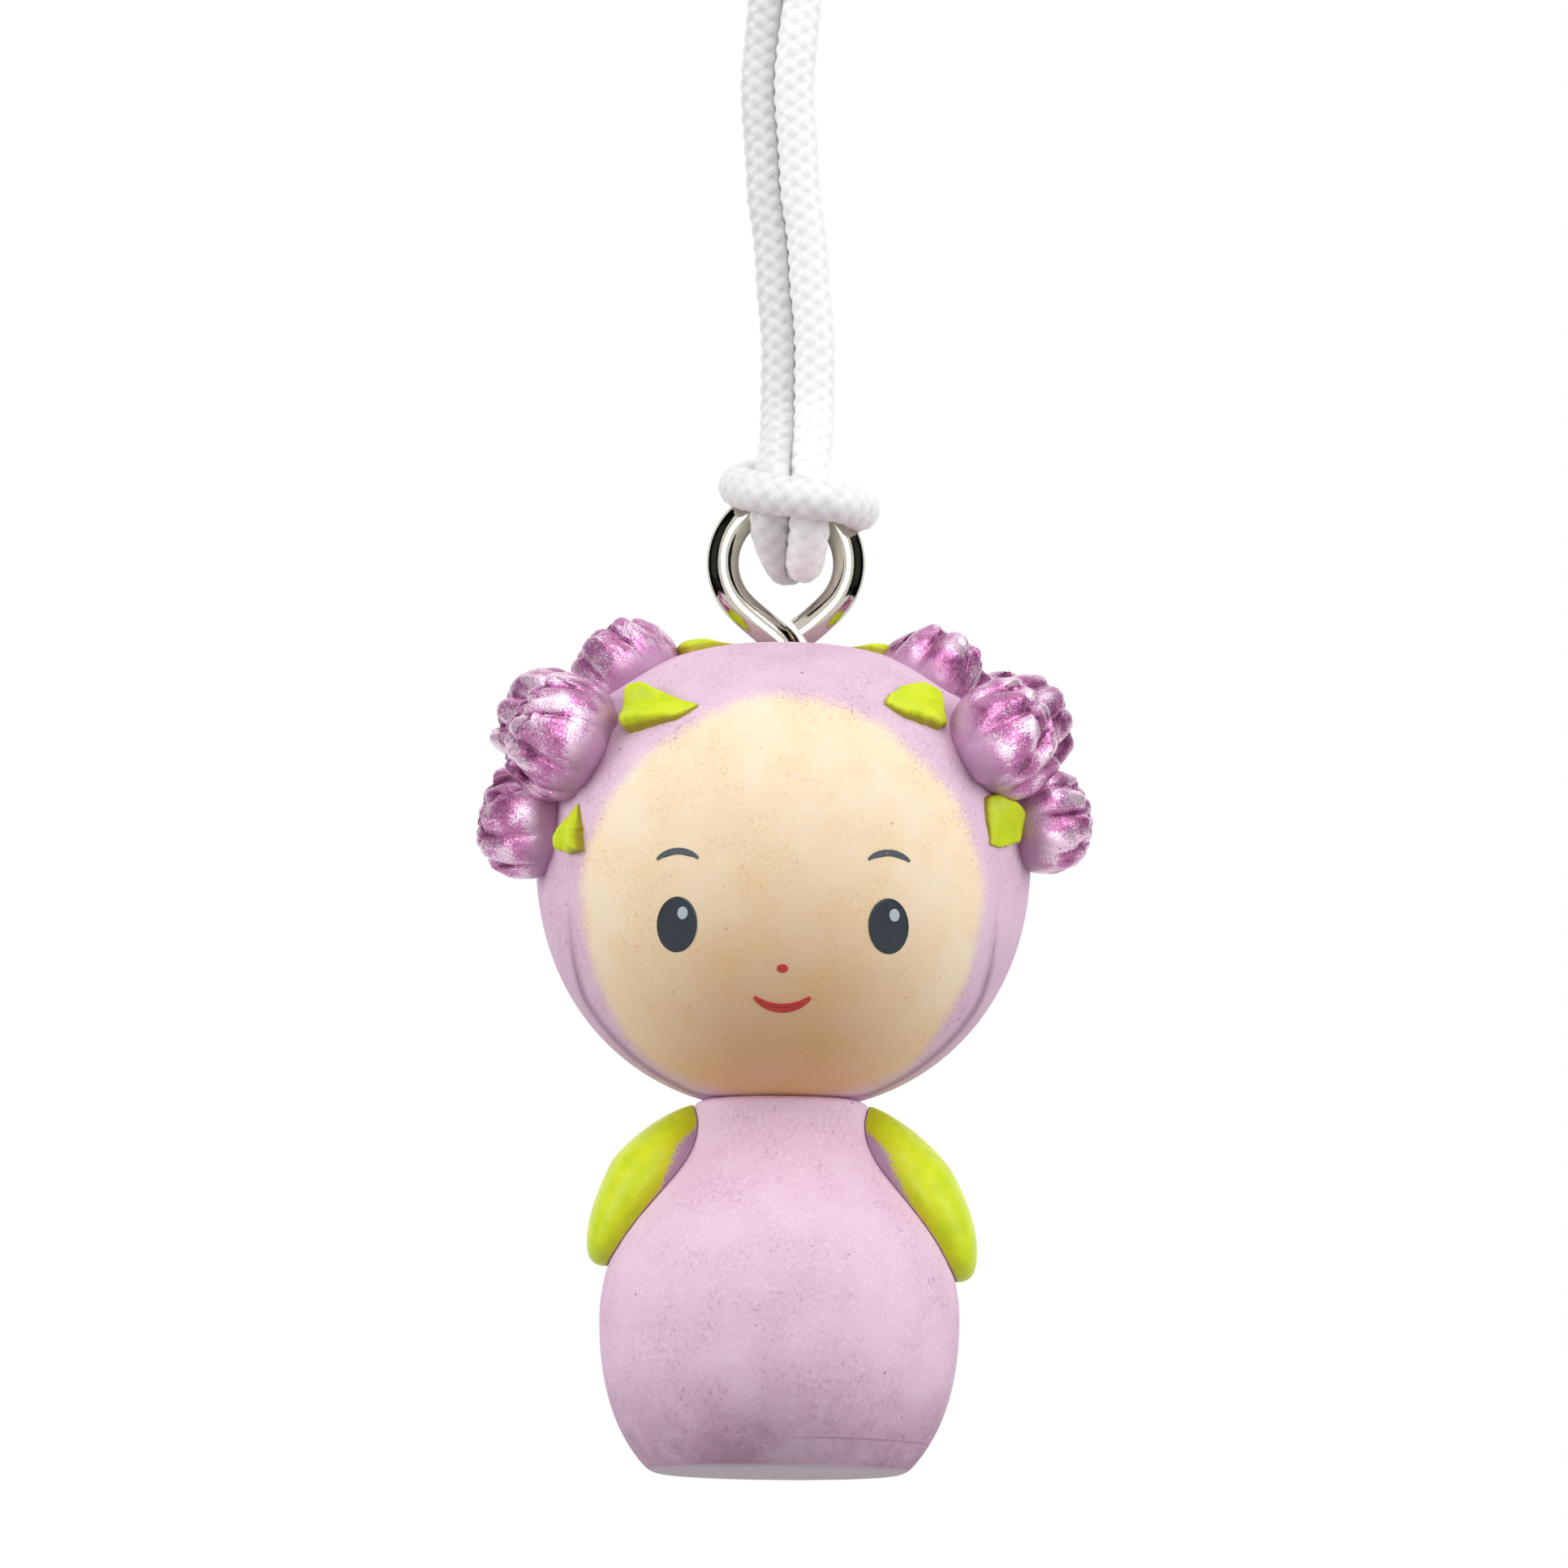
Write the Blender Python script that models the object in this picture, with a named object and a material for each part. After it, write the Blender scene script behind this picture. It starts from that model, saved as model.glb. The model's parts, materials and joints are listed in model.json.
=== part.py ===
"""A keychain doll: a turned pear-shaped body, a ball head with a hood and a face dome, two bunches of
moulded flowers with leaves, two leaf-shaped arms, a screw eye and a looped cord hitched through it.

Metres, +Z up. The doll looks along -Y. The origin is the point that the doll hangs from, inside the top
of the cord's loop, and the doll stands below it on the Z axis.
"""

import math

import bmesh
import bpy
from mathutils import Vector

MM = 0.001

# Clearances
SEAT_GAP = 0.2 * MM  # between two pieces glued or pressed together
BORE_GAP = 0.15 * MM  # all round a pin in its hole
SPLICE_GAP = 0.3 * MM  # between the ends of two lengths of the same cord

# Body
BODY_HEIGHT = 14.568 * MM
BODY_RADIUS = 7.05 * MM
BELLY_HEIGHT = 6.0 * MM
BASE_RADIUS = 4.5 * MM
NECK_RADIUS = 3.4 * MM
SHOULDER_PULL = 2.9 * MM  # how far the neck runs straight down before it swells
BELLY_PULL = 4.4 * MM  # how far the belly runs straight up before it draws in
BASE_PULL = 3.1 * MM  # how far the belly runs straight down before the base rounds under
BASE_ROUND = 1.2 * MM  # how far the base runs flat before it rounds up

# Head
HEAD_RADIUS = 9.72 * MM
HEAD_RISE = 8.1 * MM  # from its widest level to the top
HEAD_DROP = 10.07 * MM  # from its widest level to the chin
CROWN_FULLNESS = 2.3  # 2 is an ellipse, and more is squarer
CHIN_FULLNESS = 2.15
FACE_HALF_WIDTH = 8.35 * MM
FACE_RISE = 7.3 * MM  # from its middle to the brow
FACE_DROP = 7.8 * MM  # from its middle to the chin
JAW_FULLNESS = 2.3  # of the face below its middle
FACE_CENTRE_DROP = 1.75 * MM  # below the head's widest level
FACE_SEAT_DEPTH = 1.9 * MM  # the recess's floor, in front of the head's axis
FACE_SUNK = 0.15 * MM  # how far the face lies under the hood's surface
FACE_EDGE_ROUND = 0.4 * MM

# Neck dowel
DOWEL_RADIUS = 1.3 * MM
DOWEL_LENGTH = 9.0 * MM
DOWEL_CHAMFER = 0.3 * MM

# Screw eye
WIRE_DIAMETER = 1.2 * MM
EYE_RADIUS = 2.52 * MM  # to the middle of the wire
EYE_REST_GAP = 0.25 * MM  # under the eye, above the head
EYE_OPENING_ANGLE = 35.0  # below the level of the eye's centre, where the ring turns into its legs
SHANK_DEPTH = 6.5 * MM
EYE_END_OFFSET = 1.02 * MM  # where the cut end of the wire stops, beside the shank
EYE_END_DROP = 2.45 * MM  # and below the eye's centre

# Cord
CORD_DIAMETER = 1.4 * MM
CORD_GAP = 0.45 * MM  # between two strands, and round the wire
LOOP_LENGTH = 21.7 * MM  # from the eye's crown to the hanging point
HITCH_STUB = 4.2 * MM  # height above the crown over which the strands come forward to pass before the wire
BIGHT_SLACK = 0.35 * MM  # under the wire
KNOT_TURNS = 3
KNOT_START = 1.2 * MM  # from the hanging point to the first turn
TAIL_LENGTH = 2.6 * MM  # past the knot
LOOP_POINTS = 24  # points in a full loop of cord
STRAND_STEP = 2.5  # cord diameters between the points of a straight strand
# How the pair of strands bows: height as a share of the loop's length above the crown, and x in millimetres
PAIR_BOW = ((0.0, 0.15), (0.14, 0.4), (0.28, 0.4), (0.44, 0.12),
            (0.6, -0.28), (0.76, -0.5), (0.9, -0.28), (1.0, 0.0))

# Arms
ARM_TOP = 0.13 * MM  # below the neck's rim
ARM_HALF_WIDTH = 2.3 * MM
ARM_EDGE = 0.15 * MM  # thickness left at its rim
ARM_FULLEST = 0.36  # where an arm is thickest, as a share of its drop
ARM_STATIONS = (0.0, 0.05, 0.12, 0.22, 0.36, 0.5, 0.64, 0.78, 0.9, 0.97, 1.0)  # where its sections lie
# name: drop from the shoulder to the tip, thickness
ARMS = {
    "left": (6.3 * MM, 2.25 * MM),
    "right": (6.8 * MM, 2.15 * MM),
}

# Flowers
FLOWER_PETALS = 5
FLOWER_ROOT_FORWARD = 2.5 * MM  # the flowers of a bunch spread from a point this far before the head's axis
# name: angle from the side towards the front, angle above level, radius, height of its middle above the hood
FLOWERS = {
    "top": (9.0, 47.0, 1.85 * MM, 0.4 * MM),
    "front": (29.0, 23.0, 2.3 * MM, 0.95 * MM),
    "back": (-8.0, 29.5, 2.1 * MM, 1.1 * MM),
    "low": (12.0, 5.0, 2.05 * MM, 0.7 * MM),
}
FLOWER_PHASE_STEP = 23.0  # degrees by which each flower is turned from the one before
# One flower's turned outline: radius and height as shares of its radius, and how deep its petals show
FLOWER_OUTLINE = (
    (0.55, -0.62, 0.0),
    (0.86, -0.32, 0.5),
    (1.00, 0.05, 1.0),
    (1.02, 0.34, 1.0),
    (0.90, 0.62, 1.0),
    (0.72, 0.54, 0.4),
    (0.60, 0.76, -0.8),
    (0.40, 0.86, -0.8),
    (0.22, 0.74, 0.0),
)
FLOWER_FOOT = -0.7  # height of its underside, as a share of its radius
FLOWER_HEART = 0.78  # height of the heart between its inner petals
PETAL_STEP = 0.16  # how far each petal's edge stands over the next petal

# Leaves
LEAF_THICKNESS = 0.6 * MM
LEAF_EDGE = 0.2 * MM  # thickness at its rim
LEAF_BROADEST = 0.28  # where a leaf is widest, as a share of its length
LEAF_ENDS = 0.08  # width left at both ends, as a share of the widest
# name: angles of its middle as for a flower, length, half width, angle of its tip above level, inwards
LEAVES = {
    "crest": (-2.0, 65.0, 2.4 * MM, 0.8 * MM, 76.0),
    "brow": (49.0, 32.5, 3.5 * MM, 1.0 * MM, 12.0),
    "temple": (32.5, 3.6, 2.2 * MM, 0.85 * MM, 78.0),
}

# Facets
BODY_SIDES = 36
HEAD_SIDES = 40
ROUND_SIDES = 16
FLOWER_SIDES = 20
FACE_SIDES = 36
WIRE_POINT_ANGLE = 12.0

# Levels worked out from the sizes above, from the hanging point down
WIRE_RADIUS = WIRE_DIAMETER / 2
CORD_RADIUS = CORD_DIAMETER / 2
CROWN_Z = -LOOP_LENGTH
EYE_Z = CROWN_Z - EYE_RADIUS
HEAD_TOP_Z = EYE_Z - EYE_RADIUS - WIRE_RADIUS - EYE_REST_GAP
HEAD_Z = HEAD_TOP_Z - HEAD_RISE
CHIN_LEVEL = HEAD_DROP * (1 - (NECK_RADIUS / HEAD_RADIUS) ** CHIN_FULLNESS) ** (1 / CHIN_FULLNESS)
NECK_Z = HEAD_Z - CHIN_LEVEL - SEAT_GAP
BASE_Z = NECK_Z - BODY_HEIGHT
DOWEL_Z = NECK_Z  # the dowel lies half in the body and half in the head
SIDES = {"left": -1, "right": 1}


# Materials

def linear(hex_colour):
    """An sRGB hex colour as linear RGBA."""
    channels = [int(hex_colour[i:i + 2], 16) / 255 for i in (0, 2, 4)]
    return [c / 12.92 if c <= 0.04045 else ((c + 0.055) / 1.055) ** 2.4 for c in channels] + [1.0]


def material(name, hex_colour, roughness, metallic=0.0):
    made = bpy.data.materials.new(name)
    made.use_nodes = True
    shader = made.node_tree.nodes["Principled BSDF"]
    shader.inputs["Base Color"].default_value = linear(hex_colour)
    shader.inputs["Roughness"].default_value = roughness
    shader.inputs["Metallic"].default_value = metallic
    return made


# Building blocks

def add_object(name, data, paint, pivot=None, place=(0, 0, 0)):
    """Links an object at a place in the world, carried by a pivot if it has one."""
    made = bpy.data.objects.new(name, data)
    bpy.context.scene.collection.objects.link(made)
    made.location = place
    if paint:
        data.materials.append(paint)
    if pivot:
        made.parent = pivot
        made.matrix_parent_inverse = pivot.matrix_basis.inverted()
    return made


def add_pivot(name, place):
    pivot = bpy.data.objects.new(name, None)
    bpy.context.scene.collection.objects.link(pivot)
    pivot.location = place
    return pivot


def ringed_mesh(name, rings, smooth_angle=50.0):
    """A closed mesh through rings of points. A ring of one point is a pole; a first or last ring of more
    points is closed with a flat cap."""
    mesh = bmesh.new()
    loops = [[mesh.verts.new(point) for point in ring] for ring in rings]
    for low, high in zip(loops, loops[1:]):
        count = max(len(low), len(high))
        for i in range(count):
            j = (i + 1) % count
            corners = [low[i % len(low)], low[j % len(low)], high[j % len(high)], high[i % len(high)]]
            mesh.faces.new(list(dict.fromkeys(corners)))
    for loop in (loops[0], loops[-1]):
        if len(loop) > 1:
            mesh.faces.new(loop)
    bmesh.ops.recalc_face_normals(mesh, faces=mesh.faces)
    data = bpy.data.meshes.new(name)
    mesh.to_mesh(data)
    mesh.free()
    data.shade_smooth()
    data.set_sharp_from_angle(angle=math.radians(smooth_angle))
    return data


def turned_rings(profile, sides):
    """Rings of a turned shape from (radius, height) pairs; a radius of 0 gives a pole."""
    rings = []
    for radius, height in profile:
        turns = range(sides) if radius > 0 else range(1)
        angles = [2 * math.pi * i / sides for i in turns]
        rings.append([Vector((radius * math.cos(a), radius * math.sin(a), height)) for a in angles])
    return rings


def bezier(points, steps):
    """Points along a cubic Bezier curve, both ends included."""
    start, pull, push, end = (Vector(p) for p in points)
    made = []
    for i in range(steps + 1):
        t = i / steps
        u = 1 - t
        made.append(start * u ** 3 + pull * (3 * t * u * u) + push * (3 * t * t * u) + end * t ** 3)
    return made


def smooth_route(points, per_span):
    """Points along a smooth curve that passes through the given ones."""
    route = [Vector(p) for p in points]
    padded = [2 * route[0] - route[1]] + route + [2 * route[-1] - route[-2]]
    made = []
    for before, start, end, after in zip(padded, padded[1:], padded[2:], padded[3:]):
        for i in range(per_span):
            t = i / per_span
            made.append(0.5 * (2 * start + (end - before) * t
                               + (2 * before - 5 * start + 4 * end - after) * t ** 2
                               + (3 * start - before - 3 * end + after) * t ** 3))
    return made + [route[-1]]


def evenly_spaced(points, step):
    """The same line with points about a step apart."""
    lengths = [(b - a).length for a, b in zip(points, points[1:])]
    count = max(2, math.ceil(sum(lengths) / step))
    made, walked, span = [points[0]], 0.0, 0
    for i in range(1, count):
        wanted = sum(lengths) * i / count
        while walked + lengths[span] < wanted:
            walked += lengths[span]
            span += 1
        made.append(points[span].lerp(points[span + 1], (wanted - walked) / lengths[span]))
    return made + [points[-1]]


def tube(name, points, radius, paint, pivot=None, place=(0, 0, 0), resolution=2):
    """A round bar or cord along a line of points, with closed ends."""
    curve = bpy.data.curves.new(name, "CURVE")
    curve.dimensions = "3D"
    curve.bevel_depth = radius
    curve.bevel_resolution = resolution
    curve.use_fill_caps = True
    spline = curve.splines.new("POLY")
    spline.points.add(len(points) - 1)
    for spot, point in zip(spline.points, points):
        spot.co = (*point, 1.0)
    spline.use_smooth = True
    return add_object(name, curve, paint, pivot, place)


def cutter(name, data, pivot=None, place=(0, 0, 0)):
    """A helper that only cuts other pieces."""
    made = add_object(name, data, None, pivot, place)
    made.hide_render = True
    made.display_type = "WIRE"
    return made


def cut(piece, tool):
    """Takes a cutter's volume out of a piece."""
    modifier = piece.modifiers.new("cut_" + tool.name, "BOOLEAN")
    modifier.operation = "DIFFERENCE"
    modifier.object = tool


# Surfaces that other pieces seat on

def body_profile():
    """(radius, height above the base) from the base's rim up to the neck's rim."""
    base = (BASE_RADIUS, 0, 0)
    belly = (BODY_RADIUS, BELLY_HEIGHT, 0)
    neck = (NECK_RADIUS, BODY_HEIGHT, 0)
    under = bezier([base, (BASE_RADIUS + BASE_ROUND, 0, 0),
                    (BODY_RADIUS, BELLY_HEIGHT - BASE_PULL, 0), belly], 7)
    over = bezier([belly, (BODY_RADIUS, BELLY_HEIGHT + BELLY_PULL, 0),
                   (NECK_RADIUS, BODY_HEIGHT - SHOULDER_PULL, 0), neck], 9)
    return [(p.x, p.y) for p in under + over[1:]]


def body_radius_at(height):
    """The body's radius at a height above its base."""
    profile = body_profile()
    for (r0, h0), (r1, h1) in zip(profile, profile[1:]):
        if h0 <= height <= h1:
            return r0 + (r1 - r0) * (height - h0) / (h1 - h0)
    return profile[-1][0]


def head_radius_at(level, grown=0.0):
    """The head's radius at a level above or below its widest one."""
    reach, power = (HEAD_RISE, CROWN_FULLNESS) if level > 0 else (HEAD_DROP, CHIN_FULLNESS)
    share = min(1.0, abs(level) / (reach + grown))
    return (HEAD_RADIUS + grown) * (1 - share ** power) ** (1 / power)


def head_level_at(radius, upper):
    """The level of the head's surface at a radius, above its widest one or below it."""
    reach, power = (HEAD_RISE, CROWN_FULLNESS) if upper else (-HEAD_DROP, CHIN_FULLNESS)
    return reach * (1 - (radius / HEAD_RADIUS) ** power) ** (1 / power)


def head_reach(direction):
    """How far the head's surface is from the middle of its widest level, along a direction."""
    reach, power = (HEAD_RISE, CROWN_FULLNESS) if direction.z > 0 else (HEAD_DROP, CHIN_FULLNESS)
    across = math.hypot(direction.x, direction.y) / HEAD_RADIUS
    return (across ** power + (abs(direction.z) / reach) ** power) ** (-1 / power)


def head_direction(side, azimuth, elevation):
    """A direction out of the head: azimuth turns from the side to the front, elevation rises from level."""
    a, e = math.radians(azimuth), math.radians(elevation)
    return Vector((side * math.cos(a) * math.cos(e), -math.sin(a) * math.cos(e), math.sin(e)))


# Body, head and face

def make_body(paint, pivot):
    """The turned body. Its top is dished to seat the head and bored for the dowel."""
    bore = DOWEL_RADIUS + BORE_GAP
    floor = BODY_HEIGHT - DOWEL_LENGTH / 2 - SEAT_GAP
    head_middle = HEAD_Z - BASE_Z
    dish = [NECK_RADIUS - (NECK_RADIUS - bore) * share for share in (0.12, 0.5, 1.0)]
    profile = [(0, 0)] + body_profile()
    profile += [(r, head_middle + head_level_at(r, False) - SEAT_GAP) for r in dish]
    profile += [(bore, floor), (0, floor)]
    data = ringed_mesh("body", turned_rings(profile, BODY_SIDES))
    return add_object("body", data, paint, pivot, (0, 0, BASE_Z))


def make_dowel(paint, pivot):
    """The pin that joins head and body."""
    half = DOWEL_LENGTH / 2
    profile = [(DOWEL_RADIUS - DOWEL_CHAMFER, -half), (DOWEL_RADIUS, DOWEL_CHAMFER - half)]
    profile += [(r, -h) for r, h in reversed(profile)]
    data = ringed_mesh("neck_dowel", turned_rings(profile, ROUND_SIDES))
    return add_object("neck_dowel", data, paint, pivot, (0, 0, DOWEL_Z))


def make_head(paint, pivot):
    """The ball with its hood: bored for the dowel and the screw eye, with a recess for the face."""
    dowel_bore = DOWEL_RADIUS + BORE_GAP
    screw_bore = WIRE_RADIUS + BORE_GAP
    dowel_top = DOWEL_Z + DOWEL_LENGTH / 2 + SEAT_GAP - HEAD_Z
    screw_floor = HEAD_RISE - SHANK_DEPTH - SEAT_GAP
    levels = [math.sin(math.radians(angle)) for angle in range(-64, 75, 8)]
    lower = [(dowel_bore, head_level_at(dowel_bore, False))]
    outer = [level * (HEAD_RISE if level > 0 else HEAD_DROP) for level in levels]
    profile = [(0, dowel_top), (dowel_bore, dowel_top)] + lower
    profile += [(head_radius_at(level), level) for level in outer]
    profile += [(r, head_level_at(r, True)) for r in (HEAD_RADIUS * 0.36, HEAD_RADIUS * 0.2, screw_bore)]
    profile += [(screw_bore, screw_floor), (0, screw_floor)]
    data = ringed_mesh("head", turned_rings(profile, HEAD_SIDES))
    head = add_object("head", data, paint, pivot, (0, 0, HEAD_Z))
    rings = [face_outline(0.0, depth) for depth in (FACE_SEAT_DEPTH, HEAD_RADIUS + FACE_EDGE_ROUND)]
    cut(head, cutter("face_recess", ringed_mesh("face_recess", rings), pivot, (0, 0, HEAD_Z)))
    return head


def face_outline(inset, depth, share=1.0):
    """A ring of the face's outline, drawn in by an inset and to a share of its size, at a depth before
    the head's axis."""
    ring = []
    for i in range(FACE_SIDES):
        angle = 2 * math.pi * i / FACE_SIDES
        across, up = math.cos(angle), math.sin(angle)
        reach, power = (FACE_RISE, 2.0) if up > 0 else (FACE_DROP, JAW_FULLNESS)
        x = math.copysign(abs(across) ** (2 / power), across) * (FACE_HALF_WIDTH - inset)
        z = math.copysign(abs(up) ** (2 / power), up) * (reach - inset)
        ring.append(Vector((share * x, -depth, share * z - FACE_CENTRE_DROP)))
    return ring


def face_depth(point, share):
    """How far the face stands before the head's axis: just under the hood, and rounded off at its edge."""
    radius = head_radius_at(point.z)
    depth = math.sqrt(max(radius ** 2 - point.x ** 2, 0))
    return depth - FACE_SUNK - FACE_EDGE_ROUND * share ** 16


def make_face(paint, pivot):
    """The dome of the face, glued into the head's recess."""
    back = FACE_SEAT_DEPTH + SEAT_GAP
    rings = [face_outline(SEAT_GAP, back)]
    for share in (1.0, 0.97, 0.88, 0.72, 0.5, 0.25):
        ring = face_outline(SEAT_GAP, 0.0, share)
        rings.append([Vector((p.x, -face_depth(p, share), p.z)) for p in ring])
    middle = Vector((0, 0, -FACE_CENTRE_DROP))
    rings.append([Vector((0, -face_depth(middle, 0.0), middle.z))])
    return add_object("face", ringed_mesh("face", rings), paint, pivot, (0, 0, HEAD_Z))


# Arms

def arm_fullness(s):
    """How thick an arm is at a share of its drop, as a share of its thickest place."""
    if s < ARM_FULLEST:
        return math.sin(math.pi / 2 * (s / ARM_FULLEST) ** 0.75)
    past = (s - ARM_FULLEST) / (1 - ARM_FULLEST)
    return (1 - 0.72 * past ** 1.2) * math.sqrt(max(0.0, 1 - past ** 20))


def make_arm(side_name, side, paint, pivot):
    """A leaf-shaped arm: a domed leaf that lies on the body's side from the shoulder to its blunt tip."""
    steps_across = 8
    drop, thickness = ARMS[side_name]
    name = f"arm_{side_name}"
    shoulder = BODY_HEIGHT - ARM_TOP
    rings = []
    for s in ARM_STATIONS:
        height = shoulder - drop * s
        radius = body_radius_at(height) + SEAT_GAP
        width = ARM_HALF_WIDTH * math.sin(math.pi * (0.1 + 0.75 * s))
        thick = (thickness - ARM_EDGE) * arm_fullness(s)
        under, over = [], []
        for j in range(steps_across + 1):
            v = 2 * j / steps_across - 1
            angle = v * width / radius
            direction = Vector((side * math.cos(angle), math.sin(angle), 0))
            rise = ARM_EDGE + thick * (0.15 + 0.85 * math.sqrt(1 - v * v))
            under.append(direction * radius + Vector((0, 0, height)))
            over.append(direction * (radius + rise) + Vector((0, 0, height)))
        rings.append(over + list(reversed(under)))
    return add_object(name, ringed_mesh(name, rings), paint, pivot, (0, 0, BASE_Z))


# Flowers and leaves

def flower_frame(side, key):
    """Middle, axis, radius and turn of one flower, from the middle of the head's widest level."""
    azimuth, elevation, radius, stand = FLOWERS[key]
    direction = head_direction(side, azimuth, elevation)
    middle = direction * (head_reach(direction) + stand)
    root = Vector((0, -FLOWER_ROOT_FORWARD, 0))
    turn = math.radians(FLOWER_PHASE_STEP * (list(FLOWERS).index(key) + (side > 0) * 0.5))
    return middle, (middle - root).normalized(), radius, turn


def flower_data(name, side, key, grown=0.0):
    """A moulded flower: petals overlap round an open bud whose heart shows at its outer end."""
    middle, axis, radius, turn = flower_frame(side, key)
    across = axis.orthogonal().normalized()
    along = axis.cross(across)
    full = radius + grown

    def spot(angle, wide, high):
        outward = across * math.cos(angle) + along * math.sin(angle)
        return middle + (outward * wide + axis * high) * full

    rings = [[spot(0, 0, FLOWER_FOOT)]]
    for wide, high, depth in FLOWER_OUTLINE:
        ring = []
        for i in range(FLOWER_SIDES):
            share = (i * FLOWER_PETALS / FLOWER_SIDES) % 1.0
            petal = PETAL_STEP * depth * (share - 0.5)
            angle = turn + 2 * math.pi * i / FLOWER_SIDES
            ring.append(spot(angle, wide * (1 + petal), high + 0.5 * petal))
        rings.append(ring)
    rings.append([spot(0, 0, FLOWER_HEART)])
    return ringed_mesh(name, rings, 40.0)


def make_bunch(side_name, side, paint, pivot, hood_clear):
    """The flowers of one side. Each sits on the hood and is drawn in where an earlier one takes its room."""
    earlier = []
    for key in ("front", "low", "top", "back"):
        name = f"flower_{side_name}_{key}"
        flower = add_object(name, flower_data(name, side, key), paint, pivot, (0, 0, HEAD_Z))
        cut(flower, hood_clear)
        for room in earlier:
            cut(flower, room)
        room_name = f"room_{side_name}_{key}"
        earlier.append(cutter(room_name, flower_data(room_name, side, key, SEAT_GAP), pivot, (0, 0, HEAD_Z)))
    return earlier


def make_leaf(name, side, key, paint, pivot, flowers):
    """A pointed leaf with a raised midrib, laid on the hood and tucked under the flowers."""
    azimuth, elevation, length, half_width, tilt = LEAVES[key]
    steps_long, steps_across = 6, 4
    outward = head_direction(side, azimuth, elevation)
    level = Vector((0, 0, 1)).cross(outward).normalized() * -side
    upward = level.cross(outward).normalized()
    if upward.z < 0:
        upward = -upward
    t = math.radians(tilt)
    forward = level * math.cos(t) + upward * math.sin(t)
    sideways = outward.cross(forward).normalized()
    middle = outward * head_reach(outward)
    rings = []
    for i in range(steps_long + 1):
        s = i / steps_long
        before = max(0.0, 1 - s / LEAF_BROADEST)
        after = max(0.0, (s - LEAF_BROADEST) / (1 - LEAF_BROADEST))
        width = half_width * (LEAF_ENDS + (1 - LEAF_ENDS) * math.sqrt(1 - before ** 2) * (1 - after ** 1.5))
        under, over = [], []
        for j in range(steps_across + 1):
            v = 2 * j / steps_across - 1
            spot = middle + forward * length * (s - 0.5) + sideways * width * v
            direction = spot.normalized()
            seat = head_reach(direction) + SEAT_GAP
            rise = LEAF_EDGE + (LEAF_THICKNESS - LEAF_EDGE) * (1 - abs(v)) * math.sin(math.pi * s) ** 0.5
            under.append(direction * seat)
            over.append(direction * (seat + rise))
        rings.append(over + list(reversed(under)))
    leaf = add_object(name, ringed_mesh(name, rings), paint, pivot, (0, 0, HEAD_Z))
    for room in flowers:
        cut(leaf, room)
    return leaf


# Screw eye

def make_screw_eye(paint, pivot):
    """A ring bent from one wire: the shank rises from the head, goes round and stops beside itself."""
    def on_ring(angle):
        a = math.radians(angle)
        return Vector((EYE_RADIUS * math.cos(a), 0, EYE_RADIUS * math.sin(a)))

    left, right = 180 + EYE_OPENING_ANGLE, -EYE_OPENING_ANGLE
    top = HEAD_TOP_Z - EYE_Z
    pull = 0.38 * EYE_RADIUS
    tangent = Vector((math.cos(math.radians(left + 90)), 0, math.sin(math.radians(left + 90))))
    start = on_ring(left)
    leg = bezier([(0, 0, top), (0, 0, top + 0.45 * pull), start + tangent * pull, start], 8)
    count = round((left - right) / WIRE_POINT_ANGLE)
    ring = [on_ring(left + (right - left) * i / count) for i in range(1, count)]
    mirrored = Vector((-tangent.x, 0, tangent.z))
    finish = Vector((EYE_END_OFFSET, 0, -EYE_END_DROP))
    inward = Vector((-1, 0, -0.75)).normalized()
    last = on_ring(right)
    end = bezier([last, last + mirrored * pull * 0.5, finish - inward * pull * 0.4, finish], 5)
    shank = [Vector((0, 0, top - SHANK_DEPTH))]
    return tube("screw_eye", shank + leg + ring + end, WIRE_RADIUS, paint, pivot, (0, 0, EYE_Z))


# Cord

HALF_PAIR = (CORD_DIAMETER + CORD_GAP) / 2  # from the middle of the pair of strands to each one's middle
ROUND_WIRE = WIRE_RADIUS + CORD_GAP + CORD_RADIUS  # from the wire's middle to the cord's round it
COLLAR_SIDE = HALF_PAIR + CORD_DIAMETER + CORD_GAP  # from the pair's middle to the collar's at its sides
COLLAR_FRONT = ROUND_WIRE + CORD_DIAMETER + CORD_GAP  # from the wire's middle to the collar's in front


def pair_shift(height):
    """How far the pair's middle lies from the Z axis at a height above the crown."""
    reached = height / LOOP_LENGTH
    for (h0, x0), (h1, x1) in zip(PAIR_BOW, PAIR_BOW[1:]):
        if reached <= h1:
            share = max(0.0, (reached - h0) / (h1 - h0))
            return (x0 + (x1 - x0) * share * share * (3 - 2 * share)) * MM
    return PAIR_BOW[-1][1] * MM


def strand_line(side, low, high):
    """The middle of one standing strand between two heights above the crown, from the top down."""
    heights = [high + (low - high) * i / 10 for i in range(11)]
    made = []
    for height in heights:
        share = min(1.0, max(0.0, height / HITCH_STUB))
        forward = ROUND_WIRE * (share * share * (3 - 2 * share) - 1)
        made.append(Vector((pair_shift(height) + side * HALF_PAIR, forward, CROWN_Z + height)))
    return made


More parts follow.
